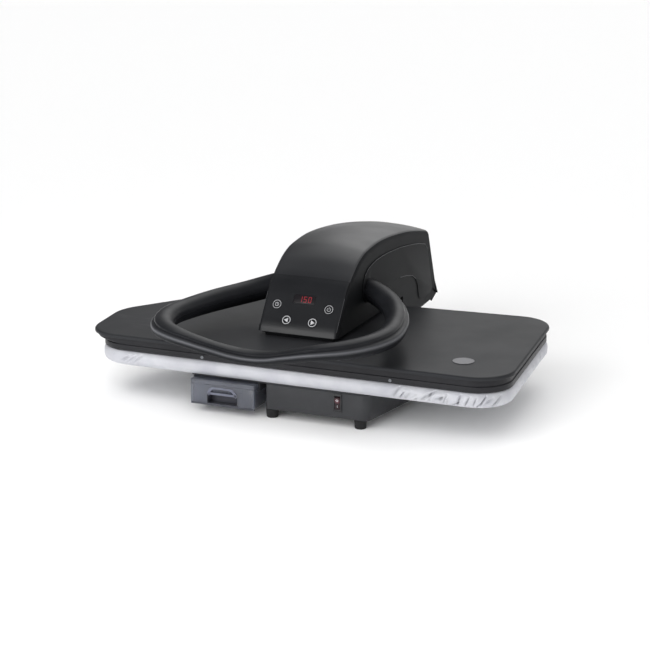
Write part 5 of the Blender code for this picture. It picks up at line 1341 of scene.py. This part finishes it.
# The plain disc, side covers and plinth
def makeTrim():
    disc = {"height": 0.0006, "rim": 0.0012, "ramp": 0.0004, "field": 0.0004, "round": 0.0003}
    low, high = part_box("blank_disc")
    middle, radius, inner = (low + high) / 2, (high.x - low.x) / 2, (high.x - low.x) / 2 - disc["rim"]
    profile = softProfile([(0, 0), (radius, 0), (radius, disc["height"]), (inner, disc["height"]),
                           (inner - disc["ramp"], disc["field"]), (0, disc["field"])], disc["round"])
    newPiece("plainDisc", turned(profile, (middle.x, middle.y, low.z), (0, 0, 1), 72), "disc", "head",
             ("blank_disc",))
    for side in ("left", "right"):
        softened("side_panel_" + side, "sideCover" + side.capitalize(), "side",
                 0.0006, 3)
    softened("head_plinth", "housingPlinth", "side", 0.0006)
    print("trim made")


# Beads along the housing's seams, grey as a painted highlight, by a geometry tree that gives a path its
# thickness
def makeSeamBeads():
    sizes = {"Bead radius": 0.0004, "Bead sides": 10}
    bead = {"inset": 0.0009, "proud": 0.0001, "armReach": 0.031, "heelZ": 0.15, "heelReach": 0.24,
            "steep": 1.2, "panelX": 0.0688, "panelStart": 0.001, "panelRun": 0.0595, "panelSteps": 12,
            "panelSunk": -0.0006}
    tree, given = startTree("seamBead", sizes)
    line = addNode(tree, "GeometryNodeMeshToCurve", {"Mesh": given["Geometry"]})
    ring = addNode(tree, "GeometryNodeCurvePrimitiveCircle", {"Resolution": given["Bead sides"],
                                                              "Radius": given["Bead radius"]})
    beaded = addNode(tree, "GeometryNodeCurveToMesh", {"Curve": line, "Profile Curve": ring,
                                                       "Fill Caps": True})
    endTree(tree, beaded, "bead")
    paths, grip = bmesh.new(), at(0, *gripAxis)
    for side, sign in (("left", -1), ("right", 1)):
        panel = solidCopy("side_panel_" + side)
        face = max((f for f in panel.faces if f.normal.x * sign > 0.9), key=lambda f: f.calc_area())
        middle, loop = face.calc_center_median(), [vert.co.copy() for vert in face.verts]
        panel.free()
        proud = Vector((sign * bead["proud"], 0, 0))
        inner = [co + (middle - co).normalized() * bead["inset"] + proud for co in loop]
        for i, end in enumerate(inner):  # no bead on the steep stretches or where the handle's arm sweeps
            start = inner[i - 1]
            clear = min((spot.yz - grip.yz).length for spot in (start, end)) > bead["armReach"]
            heel = end.z < bead["heelZ"] and end.y > grip.y + bead["heelReach"]
            if clear and not heel and abs(end.z - start.z) < bead["steep"] * abs(end.y - start.y):
                paths.edges.new((paths.verts.new(start), paths.verts.new(end)))
        steps = bead["panelSteps"]
        rises = [bead["panelStart"] + bead["panelRun"] * i / steps for i in range(steps + 1)]
        spots = [paths.verts.new(onPanel(sign * bead["panelX"], rise, bead["panelSunk"])) for rise in rises]
        for pair in zip(spots, spots[1:]):
            paths.edges.new(pair)
    grow("seamBeads", paths, tree, sizes, "head", ())
    print("seam beads made")


makeScrews()
makeTrim()
makeSeamBeads()


# Lift springs, wound by a geometry tree
def makeSprings():
    sizes = {"Turns": 4.0, "Coil radius": 0.0099, "Wire": 0.0013, "Length": 0.022}
    tree, given = startTree("liftSpring", sizes)
    coil = addNode(tree, "GeometryNodeCurveSpiral", {"Resolution": 40, "Rotations": given["Turns"],
                                                     "Start Radius": given["Coil radius"],
                                                     "End Radius": given["Coil radius"],
                                                     "Height": given["Length"]})
    ring = addNode(tree, "GeometryNodeCurvePrimitiveCircle", {"Resolution": 12, "Radius": given["Wire"]})
    wire = addNode(tree, "GeometryNodeCurveToMesh", {"Curve": coil, "Profile Curve": ring, "Fill Caps": True})
    across = addNode(tree, "GeometryNodeTransform", {"Geometry": wire, "Rotation": (0, math.pi / 2, 0)})
    copies = addNode(tree, "GeometryNodeInstanceOnPoints", {"Points": given["Geometry"], "Instance": across})
    endTree(tree, copies, "spring")
    seats, springs = bmesh.new(), ("lift_spring_left", "lift_spring_right")
    pin = sum(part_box("hinge_pin"), Vector()) / 2
    for node in springs:
        seats.verts.new((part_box(node)[0].x + sizes["Wire"], pin.y, pin.z))
    grow("liftSprings", seats, tree, sizes, "base", springs)
    print("springs wound")


makeSprings()


# Everything else keeps its CAD shape or a softened copy, with its own material
def dressRest():
    soft = {("steel", "zinc_steel"): {"head_arms": "liftArms", "pedestal": "hingePedestal",
                                      "toggle_link": "toggleLink", "handle_crank": "handleCrank",
                                      "steam_pipe": "steamPipe", "hinge_pin": "hingePin",
                                      "press_board": "pressBoard"},
            ("felt", "felt"): {"insulation_mat": "insulationFelt"},
            ("hose", "hose_rubber"): {"suction_hose": "suctionHose", "steam_supply_hose": "steamHose"},
            ("grip", "soft_black_grip"): {"terminal_box": "terminalBox"},
            ("rubber", "rubber"): {"mains_gland": "mainsGland"}}
    for (kind, slotName), pieces in soft.items():
        for node, name in pieces.items():
            softened(node, name, kind, 0.0004)
    kept = {"link_anchor_pin": "steel", "hinge_bush_left": "grip", "hinge_bush_right": "grip",
            "handle_core": "steel", "handle_shaft_left": "steel", "handle_shaft_right": "steel",
            "steam_chamber": "aluminium", "heating_element": "steel", "display_board": "board",
            "pump": "rubber"}
    for node, kind in kept.items():
        nodes[node].material_slots[0].material = materials[kind]
    shown = [name for name, node in nodes.items() if not node.hide_render]
    print("CAD nodes kept:", ", ".join(sorted(shown)))
    print("without a finish of their own:", sorted(set(shown) - set(kept)))


dressRest()


# Plain studio: a pale floor, an even sky with three soft fields, and a near softbox
studio = {"floor": "fafafa", "sky": 0.62, "nearPower": 3.6, "nearSize": (0.9, 0.4),
          "nearPlace": (-0.22, -0.75, 0.75), "nearAim": (0.1, -0.1, 0.1)}
# Each field: its direction, the cosines where it begins and is full, and its strength
skyFields = {"highSoftbox": ((-0.38, 0.57, 0.73), 0.70, 0.96, 1.9),
             "darkFlag": ((-0.376, -0.554, 0.742), 0.45, 0.95, 0.08),
             "sideFlag": ((-0.9, 0.35, 0.25), 0.6, 0.84, 0.15)}
# Each lamp: power, then angle, pitch and yaw in degrees; the floor lamps brighten the paper alone
lamps = {"floorLamp": (0.95, 70, 22, -14), "floorFront": (1.1, 50, 66, 10), "frontBox": (1.15, 40, 76, -22)}


def makeStudioFloor():
    builder = bmesh.new()
    bmesh.ops.create_grid(builder, x_segments=1, y_segments=1, size=30)
    floor = asObject("studioFloor", builder)
    floor.location = (0, 0, -0.0002)
    tree, shader, place = startMaterial("paper", "studioPaper", studio["floor"], 0.9,
                                        {"Specular IOR Level": 0.1})
    grain(tree, shader, place, 3.0, 0.02, 0.1)
    floor.data.materials.append(materials["paper"])
    floor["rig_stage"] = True
    return floor


def makeSky():
    scene.world = bpy.data.worlds.new("softSky")
    scene.world.use_nodes = True
    tree = scene.world.node_tree
    ray = addNode(tree, "ShaderNodeTexCoord").outputs["Generated"]
    level = studio["sky"]
    for aim, begins, full, strength in skyFields.values():
        toward = addNode(tree, "ShaderNodeVectorMath", {0: ray, 1: aim}, operation="DOT_PRODUCT")
        inside = addNode(tree, "ShaderNodeMapRange", {"Value": toward, "From Min": begins,
                                                      "From Max": full}, interpolation_type="SMOOTHSTEP")
        level = addNode(tree, "ShaderNodeMix", {0: inside, 2: level, 3: strength})
    seen = addNode(tree, "ShaderNodeLightPath").outputs["Is Camera Ray"]  # the camera sees a white backdrop
    shown = addNode(tree, "ShaderNodeMix", {0: seen, 2: level, 3: 1.0})
    background = tree.nodes["Background"]
    background.inputs["Color"].default_value = (1, 1, 1, 1)
    setInputs(tree, background, {"Strength": shown})


def makeLamps(floor):
    onlyFloor = bpy.data.collections.new("onlyFloor")
    onlyFloor.objects.link(floor)
    for name, (power, angle, pitch, yaw) in lamps.items():
        lamp = bpy.data.objects.new(name, bpy.data.lights.new(name, "SUN"))
        lamp.data.energy, lamp.data.angle = power, math.radians(angle)
        lamp.rotation_euler = (math.radians(pitch), 0, math.radians(yaw))
        if name.startswith("floor"):
            lamp.light_linking.receiver_collection = onlyFloor
        scene.collection.objects.link(lamp)
    near = bpy.data.objects.new("nearBox", bpy.data.lights.new("nearBox", "AREA"))
    near.data.shape, near.data.energy = "RECTANGLE", studio["nearPower"]
    near.data.size, near.data.size_y = studio["nearSize"]
    near.location = studio["nearPlace"]
    near.rotation_euler = (Vector(studio["nearAim"]) - near.location).to_track_quat("-Z", "Y").to_euler()
    near.visible_glossy = False
    scene.collection.objects.link(near)


makeLamps(makeStudioFloor())
makeSky()
scene.view_settings.view_transform = "Standard"
print("studio lit")

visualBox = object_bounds()
for label, (small, large) in (("CAD", cadBox), ("visual", visualBox)):
    print(label, "box in mm:", [round((b - a) * 1000, 1) for a, b in zip(small, large)])
